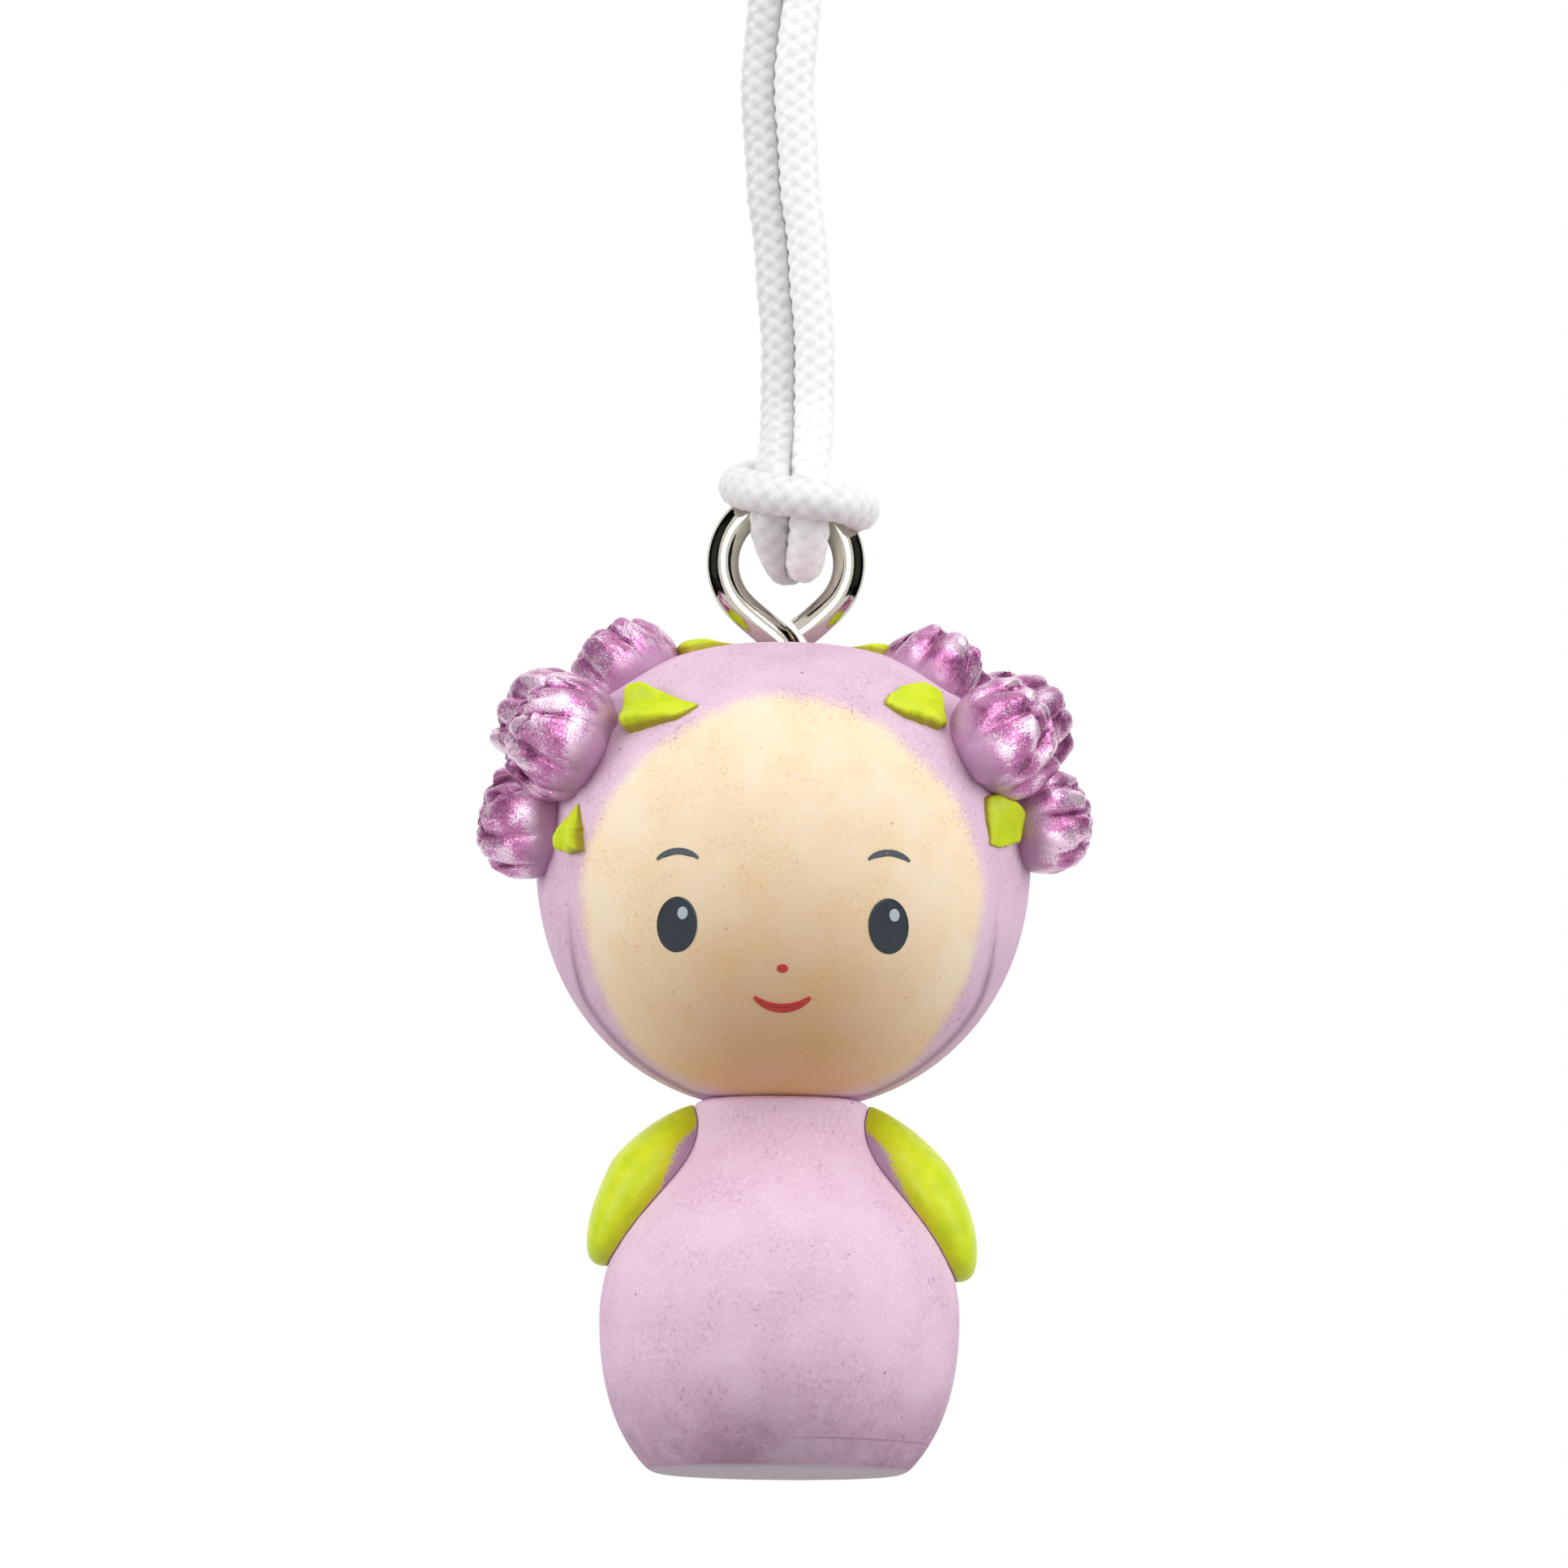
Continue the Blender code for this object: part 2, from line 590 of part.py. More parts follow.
def hitch_line():
    """The middle of the cord through the hitch: down the left strand, under the wire, round both strands
    as a collar, under the wire again and up the right strand."""
    shift = pair_shift(0.0)
    x, y = HALF_PAIR, ROUND_WIRE
    low = -(ROUND_WIRE + BIGHT_SLACK)

    def under_wire(side):
        bight, strand = side * x, shift + side * x  # under the wire, the cord settles in the eye's middle
        return [(strand, -y, 0.3 * MM), (bight, -0.84 * y, 0.7 * low), (bight, 0, 1.06 * low),
                (bight, 0.84 * y, 0.7 * low), (strand, y, 0.1 * MM)]

    back = y + 0.1 * MM
    collar = [
        (shift - x - 0.15 * MM, back + 0.05 * MM, 0.95 * MM),
        (shift - 0.78 * COLLAR_SIDE, back - 0.25 * MM, 1.4 * MM),
        (shift - COLLAR_SIDE, 0.1 * MM, 1.05 * MM),
        (shift - COLLAR_SIDE, -0.5 * COLLAR_FRONT, 0.6 * MM),
        (shift - 0.72 * COLLAR_SIDE, -0.94 * COLLAR_FRONT, 0.1 * MM),
        (shift, -COLLAR_FRONT - 0.1 * MM, -0.4 * MM),
        (shift + 0.72 * COLLAR_SIDE, -0.94 * COLLAR_FRONT, -0.6 * MM),
        (shift + COLLAR_SIDE + 0.05 * MM, -0.5 * COLLAR_FRONT, 0.05 * MM),
        (shift + COLLAR_SIDE, 0.1 * MM, 0.9 * MM),
        (shift + 0.78 * COLLAR_SIDE, back - 0.25 * MM, 1.4 * MM),
        (shift + x + 0.15 * MM, back + 0.05 * MM, 0.95 * MM),
    ]
    crown = Vector((0, 0, CROWN_Z))
    loop = under_wire(-1) + collar + list(reversed(under_wire(1)))
    down = strand_line(-1, 1.2 * MM, HITCH_STUB)[::3]
    up = list(reversed(strand_line(1, 1.2 * MM, HITCH_STUB)[::3]))
    return down + [crown + Vector(p) for p in loop] + up


def knot_line():
    """The middle of the right strand above the hanging point: up through the knot, then round both
    strands in turns that run down again."""
    deep = CORD_DIAMETER + 1.2 * CORD_GAP
    pitch = CORD_DIAMETER + 1.5 * CORD_GAP
    top = KNOT_START + KNOT_TURNS * pitch
    rise = [(HALF_PAIR, 0, share * top) for share in (0.25, 0.5, 0.75, 0.95)]
    over = [(HALF_PAIR + 0.1 * MM, 0.35 * MM, top + 0.75 * CORD_DIAMETER),
            (0.75 * HALF_PAIR, 0.75 * deep, top + 0.95 * CORD_DIAMETER)]
    turns = []
    for i in range(3, KNOT_TURNS * 12 - 1):
        across, back = math.cos(math.radians(30 * i)), math.sin(math.radians(30 * i))
        flat = max(-1.0, min(1.0, 1.6 * across)) * HALF_PAIR
        turns.append((flat + deep * across, deep * back, top + 0.75 * pitch - pitch * i / 12))
    return [Vector(p) for p in rise + over + turns]


def least_self_gap(points, radius):
    """The least gap between stretches of one cord that lie over three diameters apart along it."""
    reach, walked = [0.0], 0.0
    for a, b in zip(points, points[1:]):
        walked += (b - a).length
        reach.append(walked)
    gaps = [(a - b).length - 2 * radius for i, a in enumerate(points) for j, b in enumerate(points[:i])
            if reach[i] - reach[j] > 6 * radius]
    return min(gaps)


def make_cord(paint, hitch_pivot):
    """The looped cord: two strands, the hitch on the eye, and the knot above the hanging point."""
    joint = HITCH_STUB + SPLICE_GAP
    tail = KNOT_START + KNOT_TURNS * (CORD_DIAMETER + 1.5 * CORD_GAP) + CORD_DIAMETER + TAIL_LENGTH
    left = [Vector((-HALF_PAIR, 0, tail * share)) for share in (1.0, 0.6, 0.3)]
    left += strand_line(-1, joint, LOOP_LENGTH)
    right = list(reversed(strand_line(1, joint, LOOP_LENGTH)))
    step = STRAND_STEP * CORD_DIAMETER
    bend_step = 2 * math.pi * COLLAR_SIDE / LOOP_POINTS
    tube("cord_left_strand", evenly_spaced(smooth_route(left, 4), step), CORD_RADIUS, paint)
    strand = evenly_spaced(smooth_route(right, 4), step)
    knot = evenly_spaced(smooth_route([right[-1]] + knot_line(), 4), bend_step)
    tube("cord_right_strand", strand + knot[1:], CORD_RADIUS, paint, resolution=1)
    hitch = evenly_spaced(smooth_route(hitch_line(), 6), bend_step * 0.8)
    place = Vector((0, 0, CROWN_Z))
    tube("cord_hitch", [p - place for p in hitch], CORD_RADIUS, paint, hitch_pivot, place)
    for name, line in (("hitch", hitch), ("knot", strand + knot[1:])):
        print(f"least gap in the {name}: {least_self_gap(line, CORD_RADIUS) / MM:.2f} mm")


def main():
    for old in list(bpy.data.objects):
        bpy.data.objects.remove(old)
    lilac = material("lilac_paint", "E4C3DA", 0.75)
    skin = material("skin_paint", "F3D5A8", 0.75)
    pearl = material("pearl_paint", "B8709C", 0.3, 0.6)
    lime = material("lime_paint", "CFDD20", 0.35)
    beech = material("beech", "C9A777", 0.7)
    nickel = material("nickel_plate", "D8D5CC", 0.15, 1.0)
    nylon = material("white_nylon", "F2F2F0", 0.6)

    hitch_pivot = add_pivot("hitch_pivot", (0, 0, CROWN_Z))
    doll_pivot = add_pivot("doll_pivot", (0, 0, CROWN_Z))
    doll_pivot.parent = hitch_pivot
    doll_pivot.matrix_parent_inverse = hitch_pivot.matrix_basis.inverted()

    make_cord(nylon, hitch_pivot)
    make_screw_eye(nickel, doll_pivot)
    make_head(lilac, doll_pivot)
    make_face(skin, doll_pivot)
    make_dowel(beech, doll_pivot)
    make_body(lilac, doll_pivot)
    levels = [math.sin(math.radians(angle)) for angle in range(-80, 81, 8)]
    clear = [(head_radius_at(level, SEAT_GAP), level) for level in
             (share * ((HEAD_RISE if share > 0 else HEAD_DROP) + SEAT_GAP) for share in levels)]
    hood_rings = turned_rings([(0, -HEAD_DROP - SEAT_GAP)] + clear + [(0, HEAD_RISE + SEAT_GAP)], HEAD_SIDES)
    hood_clear = cutter("hood_clear", ringed_mesh("hood_clear", hood_rings), doll_pivot, (0, 0, HEAD_Z))
    for side_name, side in SIDES.items():
        flowers = make_bunch(side_name, side, pearl, doll_pivot, hood_clear)
        for key in LEAVES:
            make_leaf(f"leaf_{side_name}_{key}", side, key, lime, doll_pivot, flowers)
        make_arm(side_name, side, lime, doll_pivot)


main()
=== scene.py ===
# %% [markdown]
# # A keychain doll
# This lesson dresses a small doll that hangs from a cord: a turned body, a ball head with a hood, a face
# dome, two bunches of moulded flowers with leaves, two leaf-shaped arms, and a screw eye that the cord is
# hitched to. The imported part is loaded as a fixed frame. It already has each piece at its real size, so
# every step here makes a finer mesh in the same place and gives it the finish of the real piece.
# Lengths are metres and +Z is up. The doll looks along -Y, and the origin is the point that it hangs from.

# %% Frame and units
import json
import math

import bmesh
import bpy
import numpy as np
from mathutils import Matrix, Vector

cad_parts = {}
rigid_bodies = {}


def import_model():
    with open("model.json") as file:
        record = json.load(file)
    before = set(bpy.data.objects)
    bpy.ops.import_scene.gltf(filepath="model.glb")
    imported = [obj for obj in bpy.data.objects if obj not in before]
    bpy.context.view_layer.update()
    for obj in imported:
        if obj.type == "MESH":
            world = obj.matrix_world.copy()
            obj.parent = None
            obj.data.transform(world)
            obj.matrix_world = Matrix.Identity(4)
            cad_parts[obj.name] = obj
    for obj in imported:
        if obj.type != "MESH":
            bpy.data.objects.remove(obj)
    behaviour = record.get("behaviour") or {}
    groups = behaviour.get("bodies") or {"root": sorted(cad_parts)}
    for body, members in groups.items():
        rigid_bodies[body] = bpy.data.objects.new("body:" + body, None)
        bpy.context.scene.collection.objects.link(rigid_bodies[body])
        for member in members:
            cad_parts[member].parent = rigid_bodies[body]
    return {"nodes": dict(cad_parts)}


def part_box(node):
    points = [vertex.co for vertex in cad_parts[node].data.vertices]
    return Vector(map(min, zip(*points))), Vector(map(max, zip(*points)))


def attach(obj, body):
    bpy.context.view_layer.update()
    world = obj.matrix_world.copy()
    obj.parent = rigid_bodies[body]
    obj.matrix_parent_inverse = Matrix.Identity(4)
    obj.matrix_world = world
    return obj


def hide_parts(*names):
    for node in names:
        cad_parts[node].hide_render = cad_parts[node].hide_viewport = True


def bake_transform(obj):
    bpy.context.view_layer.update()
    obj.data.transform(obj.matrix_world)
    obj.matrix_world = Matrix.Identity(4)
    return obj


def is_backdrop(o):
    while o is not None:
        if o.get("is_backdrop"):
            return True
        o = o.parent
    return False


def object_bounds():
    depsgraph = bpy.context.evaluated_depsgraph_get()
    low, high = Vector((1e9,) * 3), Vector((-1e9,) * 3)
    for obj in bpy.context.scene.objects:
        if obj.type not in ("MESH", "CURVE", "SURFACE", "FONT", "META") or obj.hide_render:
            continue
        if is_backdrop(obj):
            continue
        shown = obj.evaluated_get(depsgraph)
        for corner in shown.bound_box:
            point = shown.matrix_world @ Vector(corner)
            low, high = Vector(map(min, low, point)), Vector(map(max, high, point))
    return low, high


for leftover in list(bpy.data.objects):
    bpy.data.objects.remove(leftover)
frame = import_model()
cad_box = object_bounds()
MM = 0.001

# %% [markdown]
# ## Camera
# The photograph was taken from slightly below, with a long lens: the flat base shows as a thin crescent, and
# near and far pieces keep their sizes. A camera far away with a narrow view gives the same look. The width
# of the view is a real length at the doll, so the lens is worked out from it. The doll hangs half a degree
# out of true, which a small roll of the camera repeats.

# %% Camera
VIEW_WIDTH = 61.6 * MM
VIEW_CENTRE = Vector((0, 0, -32.9 * MM))
CAMERA_DISTANCE = 600 * MM
CAMERA_RISE = math.radians(-5.5)
CAMERA_ROLL = math.radians(0.5)
NEAREST_SEEN = 10 * MM


def linked(name, data):
    """A new object in the scene, at the origin."""
    made = bpy.data.objects.new(name, data)
    bpy.context.scene.collection.objects.link(made)
    return made


lens = bpy.data.cameras.new("camera")
lens.lens = lens.sensor_width * CAMERA_DISTANCE / VIEW_WIDTH
lens.clip_start = NEAREST_SEEN
camera = linked("camera", lens)
towards_camera = Vector((0, -math.cos(CAMERA_RISE), math.sin(CAMERA_RISE)))
camera.matrix_world = (Matrix.Translation(VIEW_CENTRE + CAMERA_DISTANCE * towards_camera)
                       @ Matrix.Rotation(math.pi / 2 - CAMERA_RISE, 4, "X")
                       @ Matrix.Rotation(CAMERA_ROLL, 4, "Z"))
bpy.context.scene.camera = camera
print(f"camera: {lens.lens:.0f} mm lens")

# %% [markdown]
# ## Helpers for nodes
# Materials and Geometry Nodes trees are both graphs, so one function adds a node to either: it sets the
# node's own settings, then gives each named input a value or a link. A node passed as a value stands for its
# first output in use. A finish starts from Blender's one general shader, with the values that are the same
# all over the surface set on its own sockets. A Geometry Nodes tree starts with named inputs and runs on an
# object, and what it makes is kept as a plain mesh, because an export drops what only a modifier holds.

# %% Helpers for nodes
def give(tree, taker, inputs):
    """Gives inputs of a node, by name or by number, their values or links."""
    for key, value in dict(inputs).items():
        socket = taker.inputs[key] if isinstance(key, int) else next(
            s for s in taker.inputs if s.enabled and s.name == key)
        if isinstance(value, bpy.types.Node):
            value = next(s for s in value.outputs if s.enabled)
        if isinstance(value, bpy.types.NodeSocket):
            tree.links.new(value, socket)
        else:
            socket.default_value = value


def node(tree, kind, inputs=(), **settings):
    """Adds a node to a tree, with its settings and its inputs."""
    made = tree.nodes.new(kind)
    for name, value in settings.items():
        setattr(made, name, value)
    give(tree, made, inputs)
    return made


def linear(hex_colour):
    """An sRGB hex colour as linear RGBA."""
    channels = [int(hex_colour[i:i + 2], 16) / 255 for i in (0, 2, 4)]
    return [c / 12.92 if c <= 0.04045 else ((c + 0.055) / 1.055) ** 2.4 for c in channels] + [1.0]


def new_finish(name, values=()):
    """A material with values on its shader. It returns the material, its tree and the shader."""
    made = bpy.data.materials.new(name)
    made.use_nodes = True
    shader = made.node_tree.nodes["Principled BSDF"]
    give(made.node_tree, shader, values)
    return made, made.node_tree, shader


print("node helpers ready")

# %% Helpers for trees
def geometry_tree(name, **inputs):
    """An empty Geometry Nodes tree with named inputs, each of the kind given. It returns the tree and the
    outputs of its Group Input node."""
    tree = bpy.data.node_groups.new(name, "GeometryNodeTree")
    tree.interface.new_socket("Geometry", in_out="INPUT", socket_type="NodeSocketGeometry")
    tree.interface.new_socket("Geometry", in_out="OUTPUT", socket_type="NodeSocketGeometry")
    for label, kind in inputs.items():
        tree.interface.new_socket(label, in_out="INPUT", socket_type="NodeSocket" + kind)
    return tree, tree.nodes.new("NodeGroupInput").outputs


def finish_tree(tree, geometry, finish):
    """Shades what a tree made smooth, and ends the tree in Realize Instances and Set Material."""
    smooth = node(tree, "GeometryNodeSetShadeSmooth", {"Geometry": geometry})
    real = node(tree, "GeometryNodeRealizeInstances", {"Geometry": smooth})
    painted = node(tree, "GeometryNodeSetMaterial", {"Geometry": real, "Material": finish})
    node(tree, "NodeGroupOutput", {"Geometry": painted})


def settled(holder):
    """What an object's modifiers make of its mesh, as a plain mesh. The object and its own mesh go."""
    source = holder.data
    graph = bpy.context.evaluated_depsgraph_get()
    mesh = bpy.data.meshes.new_from_object(holder.evaluated_get(graph), depsgraph=graph)
    bpy.data.objects.remove(holder)
    bpy.data.meshes.remove(source)
    return mesh


def grown(name, source, tree, **values):
    """Runs a tree on a source mesh and returns the outcome as a plain mesh."""
    holder = linked(name, source)
    modifier = holder.modifiers.new(tree.name, "NODES")
    modifier.node_group = tree
    for item in tree.interface.items_tree:
        if item.in_out == "INPUT" and item.name in values:
            modifier[item.identifier] = values[item.name]
    mesh = settled(holder)
    mesh.name = name
    return mesh


print("tree helpers ready")

# %% [markdown]
# ## Helpers for meshes
# Most pieces are skins stretched over rings of points: a ball, a leaf, an arm or a printed mark. One
# function joins the rings with quads, closes both ends with a pole, and makes all faces point outwards. A
# piece is then tied to the frame: it rides on a body, stands for its plain solids and takes its finish.

# %% Helpers for meshes
def smoothstep(low, high, x):
    """A soft step from 0 at low to 1 at high."""
    t = np.clip((np.asarray(x, float) - low) / (high - low), 0, 1)
    return t * t * (3 - 2 * t)


def skin(name, rings, **marks):
    """A closed smooth mesh through rings of points. Marks are float attributes, one value for each point."""
    rings = np.asarray(rings, float)
    count, size, _ = rings.shape
    points = np.concatenate([rings.reshape(-1, 3), [rings[0].mean(0)], [rings[-1].mean(0)]])
    i, j = np.meshgrid(np.arange(count - 1), np.arange(size), indexing="ij")
    near, far = i * size + j, i * size + (j + 1) % size
    faces = np.stack([near, far, far + size, near + size], -1).reshape(-1, 4).tolist()
    first, last = count * size, count * size + 1
    faces += [[first, (k + 1) % size, k] for k in range(size)]
    faces += [[last, first - size + k, first - size + (k + 1) % size] for k in range(size)]
    mesh = bpy.data.meshes.new(name)
    mesh.from_pydata(points.tolist(), [], faces)
    outward(mesh)
    for mark, values in marks.items():
        values = np.asarray(values, float)
        ends = [values[0].mean(), values[-1].mean()]
        add_mark(mesh, mark, np.concatenate([values.reshape(-1), ends]))
    return mesh


def outward(mesh):
    """Turns all faces of a closed mesh outwards and shades them smooth."""
    work = bmesh.new()
    work.from_mesh(mesh)
    bmesh.ops.recalc_face_normals(work, faces=work.faces)
    work.to_mesh(mesh)
    work.free()
    mesh.shade_smooth()


def add_mark(mesh, name, values):
    """Keeps one float for each point of a mesh, for a material to read."""
    mark = mesh.attributes.new(name, "FLOAT", "POINT")
    mark.data.foreach_set("value", np.asarray(values, np.float32))


print("mesh helpers ready")

# %% Helpers for pieces
def add_piece(mesh, finish, nodes, body="doll"):
    """Links a mesh as a piece that rides on a body and stands for nodes of the frame."""
    made = linked(mesh.name, mesh)
    if not mesh.materials:
        mesh.materials.append(finish)
    if body:
        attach(made, body)
    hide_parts(*nodes)
    print(f"{made.name}: {sum(len(p.vertices) - 2 for p in mesh.polygons)} triangles")
    return made


def line_mesh(name, points):
    """A mesh of single edges along a line of points, for a tree to turn into a curve."""
    mesh = bpy.data.meshes.new(name)
    mesh.from_pydata([tuple(p) for p in points], [(i, i + 1) for i in range(len(points) - 1)], [])
    return mesh


print("piece helpers ready")

# %% [markdown]
# ## The cord's route
# One length of cord is doubled, and its bight is hitched to the screw eye: the cord comes down before the
# wire, passes under it, goes round both strands as a collar, passes under the wire again and goes up. The
# two strands run up to the hanging point, the right one a little in front of the left, and there the right
# one is wound round both as a knot. The left one's tail ends at the top of the frame. The route is the
# part's own, drawn tight: the real strands touch, so their lumps mesh here.

# %% Route of the cord
CORD_DIAMETER = 1.6 * MM
CORD_GAP = -0.3 * MM  # the lumps of touching strands mesh
STRAND_AHEAD = 0.3 * MM  # the right strand hangs this far in front of the middle, the left one behind it
WIRE_GAP = 0.12 * MM
WIRE_RADIUS = 0.64 * MM
LOOP_LENGTH = 21.7 * MM  # from the eye's crown to the hanging point
HITCH_STUB = 4.2 * MM  # height over which the strands come forward to pass before the wire
STRAND_END = 1.2 * MM  # height above the crown where a strand goes over into the hitch
STRAND_POINTS = 18
LEVEL_BELOW = 3 * MM  # lengths at its two ends over which a strand comes level with the other
LEVEL_ABOVE = 4 * MM
CROWN = Vector((0, 0, -LOOP_LENGTH))
# How the pair of strands bows: height as a share of the loop's length above the crown, and x in millimetres
PAIR_BOW = ((0.0, 0.15), (0.14, 0.4), (0.28, 0.4), (0.44, 0.12),
            (0.6, -0.28), (0.76, -0.5), (0.9, -0.28), (1.0, 0.0))
HALF_PAIR = (CORD_DIAMETER + CORD_GAP) / 2
ROUND_WIRE = WIRE_RADIUS + WIRE_GAP + CORD_DIAMETER / 2


def pair_shift(height):
    """How far the pair's middle lies from the Z axis at a height above the crown."""
    reached = height / LOOP_LENGTH
    for (h0, x0), (h1, x1) in zip(PAIR_BOW, PAIR_BOW[1:]):
        if reached <= h1:
            return (x0 + (x1 - x0) * float(smoothstep(h0, h1, reached))) * MM
    return PAIR_BOW[-1][1] * MM


def strand_line(side):
    """The middle of one standing strand, from the hanging point down to just above the crown."""
    made = []
    for height in np.linspace(LOOP_LENGTH, STRAND_END, STRAND_POINTS):
        forward = ROUND_WIRE * (float(smoothstep(0, HITCH_STUB, height)) - 1)
        apart = float(smoothstep(0, LEVEL_BELOW, height)
                      * smoothstep(LOOP_LENGTH, LOOP_LENGTH - LEVEL_ABOVE, height))
        forward -= side * STRAND_AHEAD * apart
        made.append(CROWN + Vector((pair_shift(height) + side * HALF_PAIR, forward, height)))
    return made


print(f"loop: {LOOP_LENGTH / MM} mm, cord {CORD_DIAMETER / MM} mm thick")

# %% Hitch
# How the bight hangs under the wire, for the left and the right strand: x and slack
BIGHT = {-1: (0.0, 0.8 * MM), 1: (0.68 * MM, 0.78 * MM)}
COLLAR_ASIDE = 0.3 * MM  # the collar sits to the right of the strands
COLLAR_SIDE = HALF_PAIR + CORD_DIAMETER + CORD_GAP
COLLAR_FRONT = ROUND_WIRE + CORD_DIAMETER + CORD_GAP


def under_wire(side):
    """Down before the wire, under it and up behind it: points drawn round the wire."""
    strand = pair_shift(0.0) + side * HALF_PAIR
    bight, sag = BIGHT[side]
    y, low = ROUND_WIRE, -(ROUND_WIRE + sag)
    ahead = -side * STRAND_AHEAD
    spots = [(strand, -y, 0.3 * MM), (strand + side * 0.1 * MM, ahead - 0.9 * y, 0.55 * low),
             (bight, 1.5 * ahead, 1.06 * low), (bight, ahead + 0.84 * y, 0.7 * low), (strand, y, 0.1 * MM)]
    return [CROWN + Vector(p) for p in spots]


def collar():
    """Round both strands, from behind the left one to behind the right one: points given one by one, a little
    slack at both sides and lower at the right."""
    strand, back = pair_shift(0.0), ROUND_WIRE + 0.1 * MM
    shift = strand + COLLAR_ASIDE
    spots = [
        (strand - HALF_PAIR - 0.15 * MM, back + 0.05 * MM, 0.7 * MM),
        (shift - 0.8 * COLLAR_SIDE, back - 0.25 * MM, 0.95 * MM),
        (shift - COLLAR_SIDE - 0.3 * MM, 0.1 * MM, 0.65 * MM),
        (shift - COLLAR_SIDE - 0.25 * MM, -0.5 * COLLAR_FRONT, 0.3 * MM),
        (shift - 0.72 * COLLAR_SIDE, -0.94 * COLLAR_FRONT, 0),
        (shift, -COLLAR_FRONT - 0.3 * MM, -0.25 * MM),
        (shift + 0.72 * COLLAR_SIDE, -0.94 * COLLAR_FRONT - 0.2 * MM, -0.35 * MM),
        (shift + COLLAR_SIDE + 0.4 * MM, -0.5 * COLLAR_FRONT, -0.4 * MM),
        (shift + COLLAR_SIDE + 0.3 * MM, 0.1 * MM, -0.4 * MM),
        (shift + 0.8 * COLLAR_SIDE, back - 0.25 * MM, -0.15 * MM),
        (strand + HALF_PAIR + 0.15 * MM, back + 0.05 * MM, 0.2 * MM),
    ]
    return [CROWN + Vector(p) for p in spots]


hitch = under_wire(-1) + collar() + under_wire(1)[::-1]
print("hitch:", len(hitch), "points")

# %% Knot and whole route
KNOT_TURNS = 3
KNOT_POINTS = 12  # in one turn
KNOT_GAP = -0.1 * MM  # between the knot's turns
KNOT_START = 1.2 * MM
KNOT_FLAT = 1.6  # how long the turns stay straight across the two strands
TAIL_TOP = cad_box[1].z
ROUTE_STEPS = 8  # points of the smooth route in each span


def knot_line():
    """Up through the knot, then round both strands in turns that run down again."""
    pitch = CORD_DIAMETER + KNOT_GAP
    top = KNOT_START + KNOT_TURNS * pitch
    rise = [(HALF_PAIR, 0, share * top) for share in (0.25, 0.5, 0.75, 0.95)]
    over = [(HALF_PAIR + 0.1 * MM, 0.35 * MM, top + 0.75 * CORD_DIAMETER),
            (0.75 * HALF_PAIR, 0.75 * pitch, top + 0.95 * CORD_DIAMETER)]
    turns = []
    for i in range(3, KNOT_TURNS * KNOT_POINTS - 1):
        angle = math.radians(360 / KNOT_POINTS * i)
        side, back = math.cos(angle), math.sin(angle)
        flat = max(-1.0, min(1.0, KNOT_FLAT * side)) * HALF_PAIR
        turns.append((flat + pitch * side, pitch * back, top + 0.75 * pitch - pitch * i / KNOT_POINTS))
    return [Vector(p) for p in rise + over + turns]


def smooth_route(points):
    """Points along a smooth curve that passes through the given ones."""
    padded = [2 * points[0] - points[1]] + points + [2 * points[-1] - points[-2]]
    made = []
    for before, start, end, after in zip(padded, padded[1:], padded[2:], padded[3:]):
        for t in np.arange(ROUTE_STEPS) / ROUTE_STEPS:
            made.append(0.5 * (2 * start + (end - before) * t
                               + (2 * before - 5 * start + 4 * end - after) * t ** 2
                               + (3 * start - before - 3 * end + after) * t ** 3))
    return made + [points[-1]]


tail = [Vector((-HALF_PAIR, 0, TAIL_TOP * share)) for share in (1.0, 0.6, 0.3)]
cord_route = smooth_route(tail + strand_line(-1) + hitch + strand_line(1)[::-1] + knot_line())
steps = [(b - a).length for a, b in zip(cord_route, cord_route[1:])]
left_length = sum(steps[:ROUTE_STEPS * (len(tail) + len(strand_line(-1)))])

# %% [markdown]
# ## White nylon
# The cord is braided from bundles of white nylon filament. Nylon is a little translucent and has a silky
# sheen, and each bundle shows as a soft scale where it passes over another. The scales are real geometry,
# below. The material adds the filaments, as fine ribs along each bundle, drawn wider than the real ones so
# that they show. Its colour is painted darker between the scales, as painted shade, and greyer along the
# left strand and the hitch's left half, also as painted shade, so the colour also changes along the cord.

# %% White nylon
FILAMENTS = 4  # ribs across one bundle
SHADED_UNTIL = left_length + 10 * MM  # along the cord
UNSHADED_FROM = left_length + 22 * MM

nylon, tree, shader = new_finish("braided_white_nylon", {
    "Roughness": 0.36, "IOR": 1.53, "Sheen Weight": 0.15, "Subsurface Weight": 0.85,
    "Subsurface Radius": (1.0, 1.0, 1.0), "Subsurface Scale": 0.7 * MM})
across = node(tree, "ShaderNodeAttribute", attribute_name="bundle").outputs["Fac"]
height = node(tree, "ShaderNodeAttribute", attribute_name="lump").outputs["Fac"]
along = node(tree, "ShaderNodeAttribute", attribute_name="along").outputs["Fac"]
# painted shade: the left strand and the hitch's left half are greyer
unshaded = node(tree, "ShaderNodeMapRange", {"Value": along, "From Min": SHADED_UNTIL, "From Max": UNSHADED_FROM})
# painted shade: the colour is darker where the braid's lumps are lower
hollow = node(tree, "ShaderNodeMapRange", {"Value": height, "From Min": 0.2, "From Max": 0.8})
low = node(tree, "ShaderNodeMix", {"Factor": unshaded, "A": linear("DDE0DF"), "B": linear("ECEEED")},
           data_type="RGBA")
high = node(tree, "ShaderNodeMix", {"Factor": unshaded, "A": linear("E6E8E7"), "B": linear("FBFCFB")},
            data_type="RGBA")
colour = node(tree, "ShaderNodeMix", {"Factor": hollow, "A": low, "B": high}, data_type="RGBA")
ribs = node(tree, "ShaderNodeMath", {0: across, 1: 2 * math.pi * FILAMENTS}, operation="MULTIPLY")
wave = node(tree, "ShaderNodeMath", {0: ribs}, operation="SINE")
